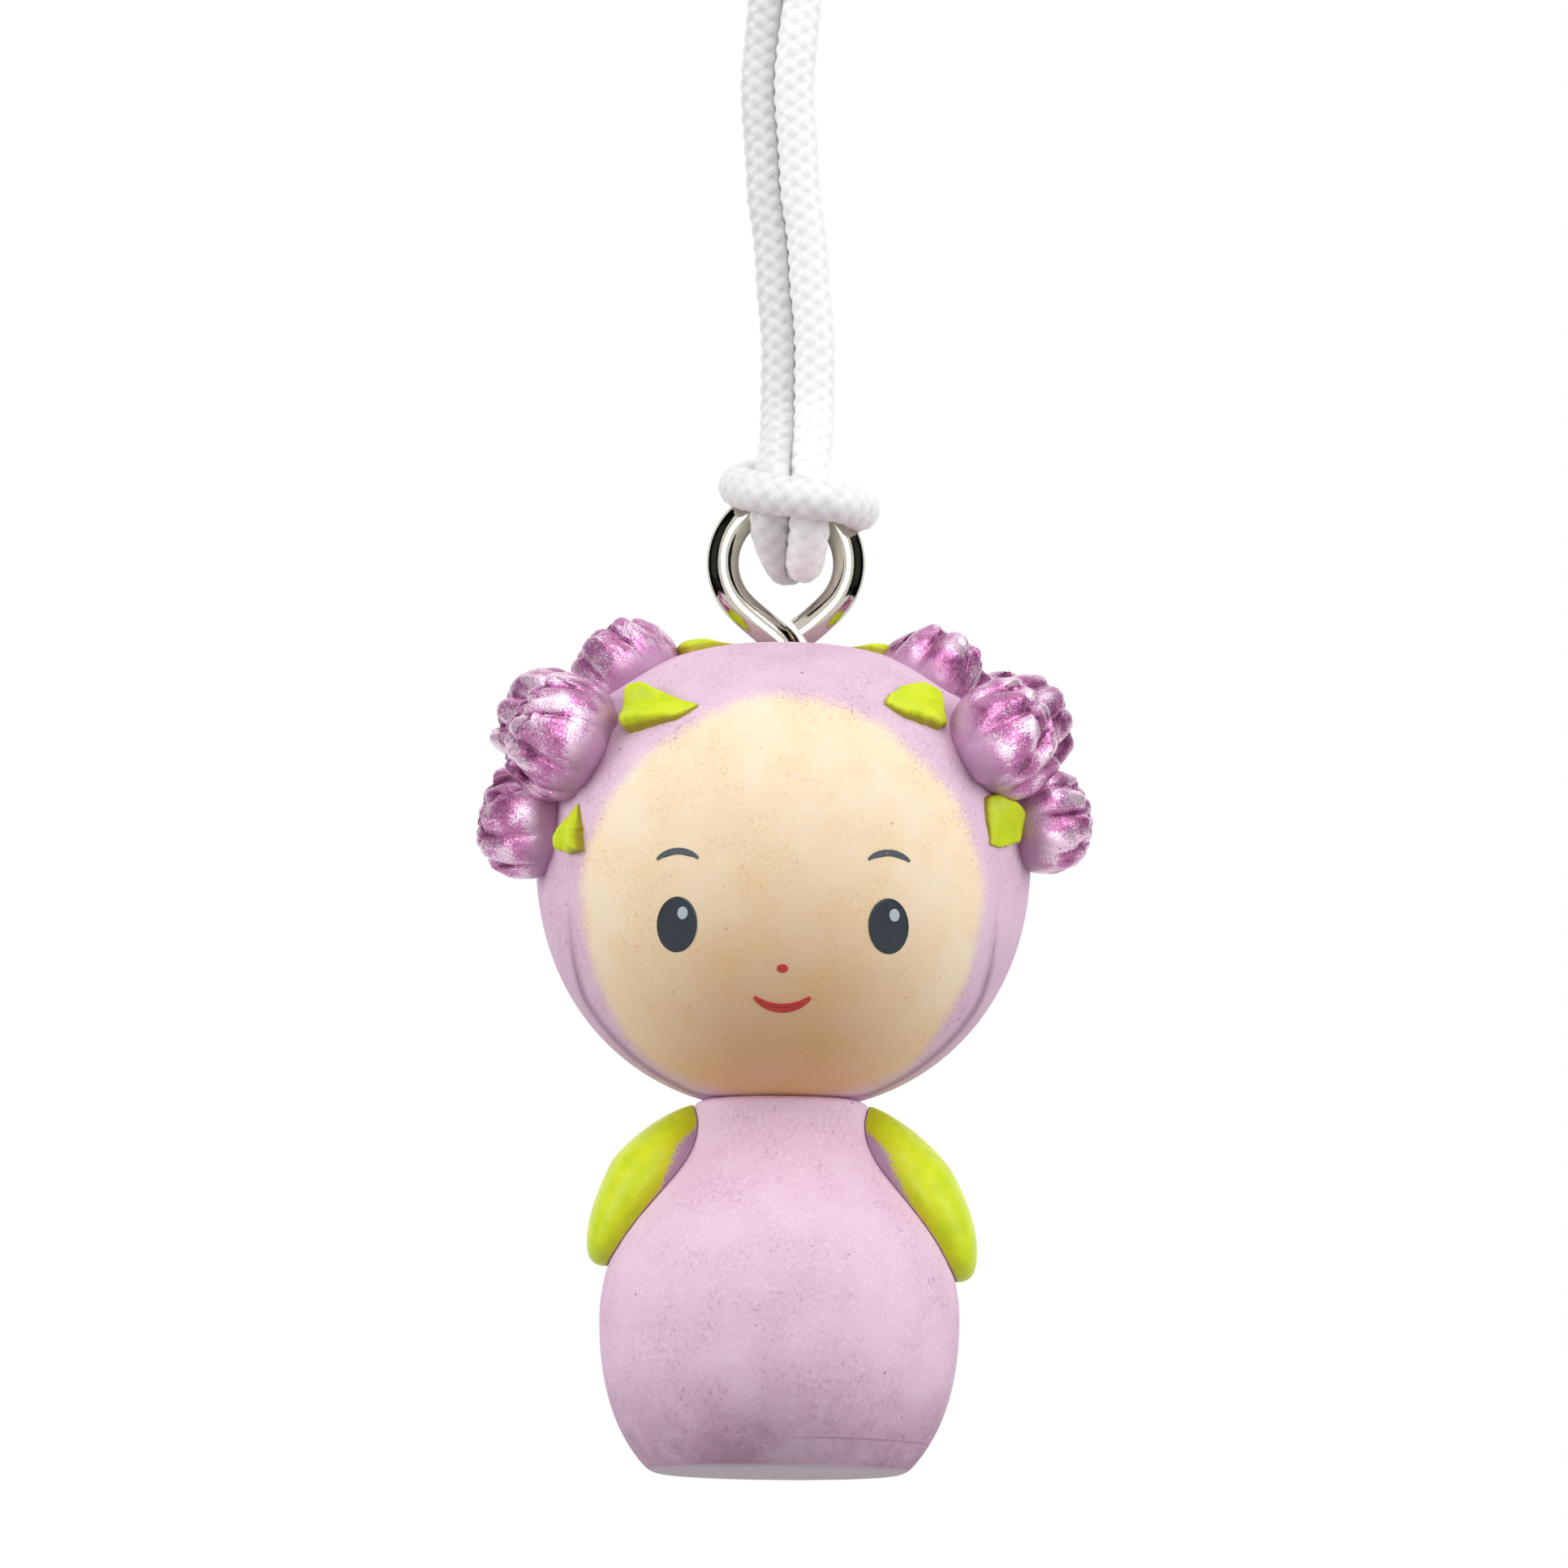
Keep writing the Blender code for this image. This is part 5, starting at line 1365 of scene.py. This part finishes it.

# %% [markdown]
# ## Pearl paint
# The flowers are brushed with a mauve pearl paint. Its mica flakes mirror the light in patches and lie under
# a clear coat, and the coat thins to the matte lilac at the flower's foot. The colour also holds painted
# light: a near-white painted highlight on the ridges and a deep magenta painted shade in the folds, both
# broken into random patches. Attributes tell how hollow a point is and where it lies in its flower, so that
# the painted highlight and shade follow the folds and the brush strokes run from the foot to the rim. A
# fine noise stands for the flakes, drawn coarser than mica so that it shows.

# %% Pearl paint
pearl, tree, shader = new_finish("mauve_pearl_paint", {"Coat Weight": 0.6, "Coat Roughness": 0.2})
place = node(tree, "ShaderNodeTexCoord").outputs["Object"]
hollow = node(tree, "ShaderNodeAttribute", attribute_name="hollow").outputs["Fac"]
bloom = node(tree, "ShaderNodeAttribute", attribute_name="bloom").outputs["Vector"]
rise = node(tree, "ShaderNodeSeparateXYZ", {"Vector": bloom}).outputs["Z"]
drawn = node(tree, "ShaderNodeMapping", {"Vector": bloom, "Scale": (1.0, 1.0, 0.3)})
strokes = node(tree, "ShaderNodeTexNoise",
               {"Vector": drawn, "Scale": 5.0, "Detail": 4.0, "Roughness": 0.65})
flakes = node(tree, "ShaderNodeTexNoise", {"Vector": place, "Scale": 1 / (0.08 * MM), "Detail": 2.0})
patches = node(tree, "ShaderNodeTexNoise", {"Vector": place, "Scale": 1 / (1.3 * MM), "Detail": 1.0})
drift = hollow
for pattern, weight in ((patches, 2.4), (strokes, 0.9), (flakes, 1.5)):
    drift = node(tree, "ShaderNodeMath", {0: pattern, 1: weight, 2: drift}, operation="MULTIPLY_ADD")
# painted shade: deep magenta in the folds, broken into random patches
fold_shade = node(tree, "ShaderNodeMapRange", {"Value": drift, "From Min": 2.5, "From Max": 2.9})
coat = node(tree, "ShaderNodeMix", {"Factor": fold_shade, "A": linear("C070A8"), "B": linear("7C2F62")},
            data_type="RGBA")
# painted highlight: near-white on the ridges, broken into random patches
ridge_highlight = node(tree, "ShaderNodeMapRange", {"Value": drift, "From Min": 2.3, "From Max": 2.02, "To Max": 0.85})
coat = node(tree, "ShaderNodeMix", {"Factor": ridge_highlight, "A": coat, "B": linear("F8DCF0")}, data_type="RGBA")
foot = node(tree, "ShaderNodeMath", {0: strokes, 1: 0.5, 2: rise}, operation="MULTIPLY_ADD")
foot = node(tree, "ShaderNodeMapRange", {"Value": foot, "From Min": 0.2, "From Max": -0.2})
coat = node(tree, "ShaderNodeMix", {"Factor": foot, "A": coat, "B": linear("C292B8")}, data_type="RGBA")
metal = node(tree, "ShaderNodeMapRange", {"Value": foot, "To Min": 0.62, "To Max": 0.1})
gloss = node(tree, "ShaderNodeMapRange", {"Value": flakes, "To Min": 0.16, "To Max": 0.36})
rough = node(tree, "ShaderNodeMath", {0: foot, 1: 0.35, 2: gloss}, operation="MULTIPLY_ADD")
relief = node(tree, "ShaderNodeMath", {0: strokes, 1: 2.0, 2: flakes}, operation="MULTIPLY_ADD")
bump = node(tree, "ShaderNodeBump", {"Strength": 0.6, "Distance": 0.04 * MM, "Height": relief})
give(tree, shader, {"Base Color": coat, "Metallic": metal, "Roughness": rough, "Normal": bump})
print("finish:", pearl.name)

# %% [markdown]
# ## A petal
# A petal is a thick sheet that starts narrow at the foot, bellies out and closes towards the flower's axis.
# One edge stands out and the other tucks in, so each petal overlaps its neighbour as in a real bud. It is
# folded lengthways into a few round lobes with sharp valleys between them, and the rim is scalloped, one
# scallop to a lobe, and curls out. Sizes are shares of the flower's radius.

# %% Petals
STEP_OUT = 0.13  # of the edge that overlaps the neighbour
LOBE_RELIEF = 0.2
SCALLOP = 0.12
RIM_CURL = 0.1
LOBE_MEAN = 0.7  # a lobe's height that leaves the petal's radius as it is
PETAL_POINTS = 61  # across a petal
PETAL_ROWS = 48


def petal_mesh(name, low, belly, shoulder, rim, spread, thick, lobes, phase):
    """One petal round the Z axis, its middle towards +X. Four (radius, height) pairs shape its profile, and
    the powers and shares below are given."""
    u = np.linspace(-1, 1, PETAL_POINTS)
    profile = [np.array(p) for p in (low, belly, shoulder, rim)]
    rings = []
    for v in np.linspace(0, 1, PETAL_ROWS):
        lobe = np.abs(np.cos(0.5 * math.pi * lobes * u + phase + 0.5 * v)) ** 0.8
        t = np.clip(v * (1 - 0.14 * np.abs(u) ** 3 + SCALLOP * (lobe - LOBE_MEAN) * v), 0, 1.05)[:, None]
        line = (profile[0] * (1 - t) ** 3 + profile[1] * 3 * t * (1 - t) ** 2
                + profile[2] * 3 * t ** 2 * (1 - t) + profile[3] * t ** 3)
        step = STEP_OUT * u * smoothstep(0.05, 0.5, v)
        fold = LOBE_RELIEF * (lobe - LOBE_MEAN) * smoothstep(0.1, 0.75, v)
        curl = RIM_CURL * smoothstep(0.8, 1.0, v) * lobe
        radius = line[:, 0] * (1 + step) + fold + curl
        half_turn = math.radians(spread) * math.sin(math.pi * (0.24 + 0.5 * v)) ** 0.7
        turn = u * half_turn + 0.15 * v * math.sin(phase)
        wall = thick * (1 - 0.3 * v) * (1 - 0.35 * np.abs(u) ** 4)
        over = np.stack([radius * np.cos(turn), radius * np.sin(turn), line[:, 1]], -1)
        inner = radius - wall
        under = np.stack([inner * np.cos(turn), inner * np.sin(turn), line[:, 1] - 0.3 * wall], -1)
        rings.append(np.concatenate([over, under[::-1]]))
    return linked(name, skin(name, rings))


# whorl: profile from the foot to the rim, spread in degrees, thickness, lobes, and the lobes' phase
PETALS = {
    "Outer": ((0.25, -0.75), (1.2, -0.95), (1.3, 0.5), (0.74, 0.82), 70, 0.24, 2.6, 0.4),
    "Inner": ((0.2, -0.6), (1.0, -0.6), (1.08, 0.8), (0.42, 0.98), 76, 0.22, 2.2, 1.9),
    "Heart": ((0.15, -0.3), (0.6, -0.3), (0.66, 0.98), (0.12, 1.05), 85, 0.2, 1.6, 3.1),
}
petals = {whorl: petal_mesh(f"{whorl.lower()}_petal", *shape) for whorl, shape in PETALS.items()}
print("petals:", sorted(petals))

# %% [markdown]
# ## Whorls of petals
# Petals repeat, so a tree places them round the flower's axis: three whorls, each with its own petal and
# count, and a seeded random nudge for every petal. A ball fills the middle. The flower is made in its own
# units, with its axis along Z.

# %% Flower tree
CORE_RADIUS = 0.66
LEAN_SEED = 17.0  # keeps the draws for the lean apart from those for the turn
LEAN_SHARE = 0.5  # of the nudge
SIZE_SHARE = 0.35

sockets = {}
for whorl in PETALS:
    sockets.update({f"{whorl} petal": "Object", f"{whorl} count": "Int", f"{whorl} turn": "Float"})
flower, given = geometry_tree("moulded_flower", **sockets, Nudge="Float", Seed="Int", Finish="Material")
parts = node(flower, "GeometryNodeJoinGeometry")
core = node(flower, "GeometryNodeMeshUVSphere", {"Segments": 32, "Rings": 16, "Radius": CORE_RADIUS})
flower.links.new(core.outputs["Mesh"], parts.inputs["Geometry"])
index = node(flower, "GeometryNodeInputIndex")
shake = node(flower, "ShaderNodeMath", {0: given["Nudge"], 1: -1.0}, operation="MULTIPLY")
seed = node(flower, "ShaderNodeMath", {0: given["Seed"], 1: LEAN_SEED}, operation="ADD")
aside = node(flower, "FunctionNodeRandomValue", {"Min": shake, "Max": given["Nudge"], "Seed": given["Seed"]})
tip = node(flower, "FunctionNodeRandomValue", {"Min": shake, "Max": given["Nudge"], "Seed": seed})
lean = node(flower, "ShaderNodeMath", {0: tip, 1: LEAN_SHARE}, operation="MULTIPLY")
size = node(flower, "ShaderNodeMath", {0: tip, 1: SIZE_SHARE, 2: 1.0}, operation="MULTIPLY_ADD")
for whorl in PETALS:
    count = given[f"{whorl} count"]
    spots = node(flower, "GeometryNodeMeshLine", {"Count": count, "Offset": (0, 0, 0)})
    shape = node(flower, "GeometryNodeObjectInfo", {"Object": given[f"{whorl} petal"]})
    part = node(flower, "ShaderNodeMath", {0: 2 * math.pi, 1: count}, operation="DIVIDE")
    turn = node(flower, "ShaderNodeMath", {0: index, 1: part, 2: given[f"{whorl} turn"]},
                operation="MULTIPLY_ADD")
    turn = node(flower, "ShaderNodeMath", {0: turn, 1: aside}, operation="ADD")
    way = node(flower, "ShaderNodeCombineXYZ", {"Y": lean, "Z": turn})
    placed = node(flower, "GeometryNodeInstanceOnPoints",
                  {"Points": spots, "Instance": shape.outputs["Geometry"], "Rotation": way, "Scale": size})
    flower.links.new(placed.outputs["Instances"], parts.inputs["Geometry"])
finish_tree(flower, parts, given["Finish"])
print("tree:", flower.name)

# %% [markdown]
# ## Crinkled skin
# Thin petals have sharp creases between round swells. A noise drawn out along the flower's axis and folded
# at its middle value gives just that, so a second tree moves the skin along its normals by such a noise. At
# the flower's foot the creases fade out.

# %% Crinkle tree
CREASE_WIDTH = 0.16  # of the noise's range, on either side of its middle
CREASE_LOW = -0.7  # shares of the depth in a crease and on a swell
SWELL_HIGH = 0.3
FADE_HEIGHT = 0.7  # above the foot

crinkle, given = geometry_tree("crinkled_skin", Depth="Float", Scale="Float", Stretch="Float", Foot="Float",
                               Seed="Float", Finish="Material")
spot = node(crinkle, "GeometryNodeInputPosition")
drawn = node(crinkle, "ShaderNodeCombineXYZ", {"X": 1.0, "Y": 1.0, "Z": given["Stretch"]})
drawn = node(crinkle, "ShaderNodeVectorMath", {0: spot, 1: drawn}, operation="MULTIPLY")
waves = node(crinkle, "ShaderNodeTexNoise",
             {"Vector": drawn, "W": given["Seed"], "Scale": given["Scale"], "Detail": 1.5},
             noise_dimensions="4D")
from_crease = node(crinkle, "ShaderNodeMath", {0: waves, 1: 0.5}, operation="SUBTRACT")
from_crease = node(crinkle, "ShaderNodeMath", {0: from_crease}, operation="ABSOLUTE")
swell = node(crinkle, "ShaderNodeMapRange",
             {"Value": from_crease, "From Max": CREASE_WIDTH, "To Min": CREASE_LOW, "To Max": SWELL_HIGH})
height = node(crinkle, "ShaderNodeSeparateXYZ", {"Vector": spot}).outputs["Z"]
above = node(crinkle, "ShaderNodeMath", {0: height, 1: given["Foot"]}, operation="SUBTRACT")
thin = node(crinkle, "ShaderNodeMapRange", {"Value": above, "From Max": FADE_HEIGHT},
            interpolation_type="SMOOTHSTEP")
depth = node(crinkle, "ShaderNodeMath", {0: swell, 1: given["Depth"]}, operation="MULTIPLY")
depth = node(crinkle, "ShaderNodeMath", {0: depth, 1: thin}, operation="MULTIPLY")
moved = node(crinkle, "ShaderNodeVectorMath", {0: node(crinkle, "GeometryNodeInputNormal"), "Scale": depth},
             operation="SCALE")
creased = node(crinkle, "GeometryNodeSetPosition", {"Geometry": given["Geometry"], "Offset": moved})
finish_tree(crinkle, creased, given["Finish"])
print("tree:", crinkle.name)

# %% [markdown]
# ## The flowers
# Each flower's whorls and core are fused by a voxel remesh, as the real flower is one moulding, and the skin
# is crinkled. Eight of them, unlike in their seeds and sizes, are then moved to their places: the flowers of
# a bunch spread from one point inside the head, as stems would.

# %% Fused skin
VOXEL = 0.03  # of the flower's radius
HOLLOW_PASSES = 30  # of easing, to compare the skin with
HOLLOW_EASE = 0.7  # how far each pass goes
HOLLOW_FULL = 0.07  # depth of a fold that counts as fully hollow


def fused(mesh):
    """Fuses overlapping parts of a mesh into one skin, eased a little, and keeps the outer shell."""
    holder = linked(mesh.name, mesh)
    remesh = holder.modifiers.new("fuse", "REMESH")
    remesh.mode = "VOXEL"
    remesh.voxel_size = VOXEL
    ease = holder.modifiers.new("ease", "SMOOTH")
    ease.factor = 0.5
    ease.iterations = 2
    made = settled(holder)
    work = bmesh.new()
    work.from_mesh(made)
    left, shells = set(work.verts), []
    while left:
        front = [left.pop()]
        shell = set(front)
        while front:
            front = [e.other_vert(v) for v in front for e in v.link_edges]
            front = [v for v in dict.fromkeys(front) if v not in shell]
            shell.update(front)
        left -= shell
        shells.append(shell)
    largest = max(shells, key=len)
    bmesh.ops.delete(work, geom=[v for v in work.verts if v not in largest], context="VERTS")
    work.to_mesh(made)
    work.free()
    return made


def hollowness(mesh, points):
    """How deep each point lies under its eased surroundings, about -1 on rims to 1 in folds."""
    pairs = np.empty(len(mesh.edges) * 2, np.int32)
    mesh.edges.foreach_get("vertices", pairs)
    pairs = pairs.reshape(-1, 2)
    ends = np.concatenate([pairs, pairs[:, ::-1]])
    counts = np.bincount(ends[:, 0], minlength=len(points))[:, None]
    eased = points.copy()
    for _ in range(HOLLOW_PASSES):
        sums = np.stack([np.bincount(ends[:, 0], eased[ends[:, 1], k], len(points)) for k in range(3)], -1)
        eased = (1 - HOLLOW_EASE) * eased + HOLLOW_EASE * sums / counts
    normals = np.empty(len(points) * 3, np.float32)
    mesh.vertices.foreach_get("normal", normals)
    return np.clip(((eased - points) * normals.reshape(-1, 3)).sum(1) / HOLLOW_FULL, -1, 1)


print("fusing helpers ready")

# %% Flowers
FLOWER_ROOT = np.array([0, -4.6 * MM, 0])  # the flowers of a bunch spread from here
# side: name: angle from the side to the front, angle above level, radius, height of its middle above the hood
FLOWERS = {
    "left": {"top": (10.0, 47.2, 2.15 * MM, 0.1 * MM), "front": (30.0, 22.5, 2.5 * MM, 0.85 * MM),
             "back": (-8.0, 29.5, 2.2 * MM, 0.95 * MM), "low": (13.5, 5.0, 2.15 * MM, 0.55 * MM)},
    "right": {"top": (11.5, 48.5, 2.2 * MM, -0.3 * MM), "front": (30.5, 22.5, 2.4 * MM, 0.8 * MM),
              "back": (-8.0, 30.0, 2.2 * MM, 1.0 * MM), "low": (12.0, 6.5, 2.0 * MM, 0.75 * MM)},
}
WHORL_COUNTS = {"Outer": 4, "Inner": 3, "Heart": 3}
PETAL_NUDGE = 0.2
FLOWER_TURN = 0.9  # radians from one flower to the next
WHORL_TURN = 0.5  # radians for each petal of a whorl
CRINKLE_STEP = 1.7  # from one flower's noise to the next
CRINKLE = {"Depth": 0.055, "Scale": 1.3, "Stretch": 0.5, "Foot": -0.55}
PETAL_REACH = 0.87  # keeps the petals' curled rims within the flower's radius


def flower_mesh(name, side, azimuth, elevation, radius, stand, seed):
    """One flower in its place on the hood."""
    way = head_direction(side, azimuth, elevation)
    middle = head_surface(way) + way * stand
    axis = Vector(middle - FLOWER_ROOT).normalized()
    values = {}
    for whorl, count in WHORL_COUNTS.items():
        values.update({f"{whorl} petal": petals[whorl], f"{whorl} count": count,
                       f"{whorl} turn": FLOWER_TURN * seed + WHORL_TURN * count})
    start = line_mesh(name, [(0, 0, 0), (0, 0, 1)])
    bud = grown(name, start, flower, **values, Nudge=PETAL_NUDGE, Seed=seed, Finish=pearl)
    mesh = grown(name, fused(bud), crinkle, **CRINKLE, Seed=CRINKLE_STEP * seed, Finish=pearl)
    points = np.empty(len(mesh.vertices) * 3, np.float32)
    mesh.vertices.foreach_get("co", points)
    points = points.reshape(-1, 3).astype(float)
    add_mark(mesh, "hollow", hollowness(mesh, points))
    bloom = mesh.attributes.new("bloom", "FLOAT_VECTOR", "POINT")
    bloom.data.foreach_set("vector", points.astype(np.float32).reshape(-1))
    turn = axis.to_track_quat("Z", "Y").to_matrix()
    placed = points * radius * PETAL_REACH @ np.array(turn).T + middle + np.array([0, 0, HEAD_Z])
    mesh.vertices.foreach_set("co", placed.astype(np.float32).reshape(-1))
    mesh.update()
    mesh.shade_smooth()
    return mesh


seed = 0
for name, side in (("left", -1), ("right", 1)):
    for key, sizes in FLOWERS[name].items():
        seed += 1
        add_piece(flower_mesh(f"pearl_flower_{name}_{key}", side, *sizes, seed), pearl,
                  (f"flower_{name}_{key}",))
for whorl in petals.values():
    bpy.data.objects.remove(whorl)

# %% [markdown]
# ## Beech dowel
# The pin that joins head and body is hidden, but it stays in the model, so it gets plain beech: long fine
# grain along the pin. A dowel is a plain cylinder, so the frame's own solid serves.

# %% Beech dowel
beech, tree, shader = new_finish("beech_dowel", {"Roughness": 0.7})
place = node(tree, "ShaderNodeTexCoord").outputs["Object"]
drawn = node(tree, "ShaderNodeMapping", {"Vector": place, "Scale": (1.0, 1.0, 0.08)})
fibres = node(tree, "ShaderNodeTexNoise", {"Vector": drawn, "Scale": 1 / (0.25 * MM), "Detail": 4.0})
colour = node(tree, "ShaderNodeMix", {"Factor": fibres, "A": linear("B88F5E"), "B": linear("D9BB8E")},
              data_type="RGBA")
give(tree, shader, {"Base Color": colour})
dowel = frame["nodes"]["neck_dowel"]
dowel.data.materials.clear()
dowel.data.materials.append(beech)
print("finish:", beech.name)

# %% [markdown]
# ## Studio
# The photograph has a white ground and soft, even light. A large area lamp above and before the doll gives
# the shape, two at the sides keep it soft, and one behind fills the edges without a glint. The world is white
# to the camera and to mirrors, but dimmer to matte surfaces. A polished wire in an all-white room looks
# white, so two dark cards stand at the sides, as a photographer would set them, and a lamp in front gives
# the metal its bright line: only reflections see these three.

# %% Studio
def ray_seen(tree):
    """1 for a ray that shows the ground: straight from the camera, mirrored or through glass."""
    ray = node(tree, "ShaderNodeLightPath")
    seen = node(tree, "ShaderNodeMath", {0: ray.outputs["Is Camera Ray"], 1: ray.outputs["Is Glossy Ray"]},
                operation="MAXIMUM")
    return node(tree, "ShaderNodeMath", {0: seen, 1: ray.outputs["Is Transmission Ray"]}, operation="MAXIMUM")


AMBIENT = 0.32  # of the white world, for matte surfaces
# name: place, size and power in watts
LAMPS = {
    "key": ((0.05, -0.45, 0.55), 0.5, 2.35),
    "left": ((-0.6, -0.22, 0.1), 0.5, 2.7),
    "right": ((0.6, -0.22, 0.1), 0.5, 2.7),
    "back": ((0.0, 0.6, 0.25), 0.5, 2.4),
    "front": ((0.0, -0.7, -0.02), 0.32, 1.4),
}

scene = bpy.context.scene
scene.view_settings.view_transform = "Standard"
world = bpy.data.worlds.new("studio")
scene.world = world
world.use_nodes = True
tree = world.node_tree
tree.nodes.clear()
strength = node(tree, "ShaderNodeMapRange", {"Value": ray_seen(tree), "To Min": AMBIENT, "To Max": 1.0})
sky = node(tree, "ShaderNodeBackground", {"Color": (1, 1, 1, 1), "Strength": strength})
node(tree, "ShaderNodeOutputWorld", {"Surface": sky})

for name, (spot, size, power) in LAMPS.items():
    lamp = bpy.data.lights.new(name, "AREA")
    lamp.size = size
    lamp.energy = power
    made = linked(name, lamp)
    made.location = spot
    made.rotation_euler = (VIEW_CENTRE - Vector(spot)).to_track_quat("-Z", "Y").to_euler()
    made.visible_glossy = name != "back"  # it fills the back without bright rims in front
    made.visible_diffuse = name != "front"  # it only gives metal its bright line

print("lamps:", sorted(LAMPS))

# %% Cards
CARD_ASIDE = 0.3
CARD_FRONT = -0.42
CARD_BACK = 0.2
CARD_HALF_HEIGHT = 0.4
CARD_CORNERS = ((CARD_FRONT, -CARD_HALF_HEIGHT), (CARD_BACK, -CARD_HALF_HEIGHT),
                (CARD_BACK, CARD_HALF_HEIGHT), (CARD_FRONT, CARD_HALF_HEIGHT))


def sheet(name, corners, finish):
    """A flat four-cornered piece of the studio."""
    mesh = bpy.data.meshes.new(name)
    mesh.from_pydata(corners, [], [(0, 1, 2, 3)])
    mesh.materials.append(finish)
    return linked(name, mesh)


black_card, tree, shader = new_finish(
    "black_card", {"Base Color": linear("0A0A0A"), "Roughness": 1.0, "Specular IOR Level": 0.0})
for name, side in (("left", -1), ("right", 1)):
    card = sheet(f"card_{name}", [(side * CARD_ASIDE, y, z) for y, z in CARD_CORNERS], black_card)
    card.visible_camera = False
    card.visible_diffuse = False
    card.visible_shadow = False
    card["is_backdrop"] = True
print("cards: left and right")

# %% [markdown]
# ## Floor
# A plain pale floor lies below the doll and takes its shadow. Away from the doll it fades into the white
# ground, for the camera and for mirrors, so that no edge shows from other sides.

# %% Floor
FLOOR_Z = -140 * MM
FLOOR_HALF = 0.55
FADE_FROM = 0.16  # distances from the hanging point between which the floor turns white
FADE_TO = 0.4

pale_floor, tree, shader = new_finish("pale_floor", {"Base Color": linear("F4F4F4"), "Roughness": 0.9})
place = node(tree, "ShaderNodeTexCoord").outputs["Object"]
away = node(tree, "ShaderNodeVectorMath", {0: place}, operation="LENGTH").outputs["Value"]
fade = node(tree, "ShaderNodeMapRange", {"Value": away, "From Min": FADE_FROM, "From Max": FADE_TO},
            interpolation_type="SMOOTHSTEP")
fade = node(tree, "ShaderNodeMath", {0: fade, 1: ray_seen(tree)}, operation="MULTIPLY")
white = node(tree, "ShaderNodeEmission", {"Strength": 1.0})
faded = node(tree, "ShaderNodeMixShader", {0: fade, 1: shader, 2: white})
give(tree, tree.nodes["Material Output"], {"Surface": faded})
floor = sheet("floor", [(x * FLOOR_HALF, y * FLOOR_HALF, FLOOR_Z)
                        for x, y in ((-1, -1), (1, -1), (1, 1), (-1, 1))], pale_floor)
floor.visible_diffuse = False  # the photograph has no light from below
floor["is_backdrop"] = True
print(f"floor: {-FLOOR_Z / MM:.0f} mm below the hanging point")

# %% [markdown]
# ## Size
# The looks must not change the object's size, so the frame's box and the dressed box are printed side by
# side.

# %% Size and finish
dressed_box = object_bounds()
for name, box in (("frame", cad_box), ("dressed", dressed_box)):
    print(f"{name}:", [round((b - a) / MM, 2) for a, b in zip(*box)], "mm")
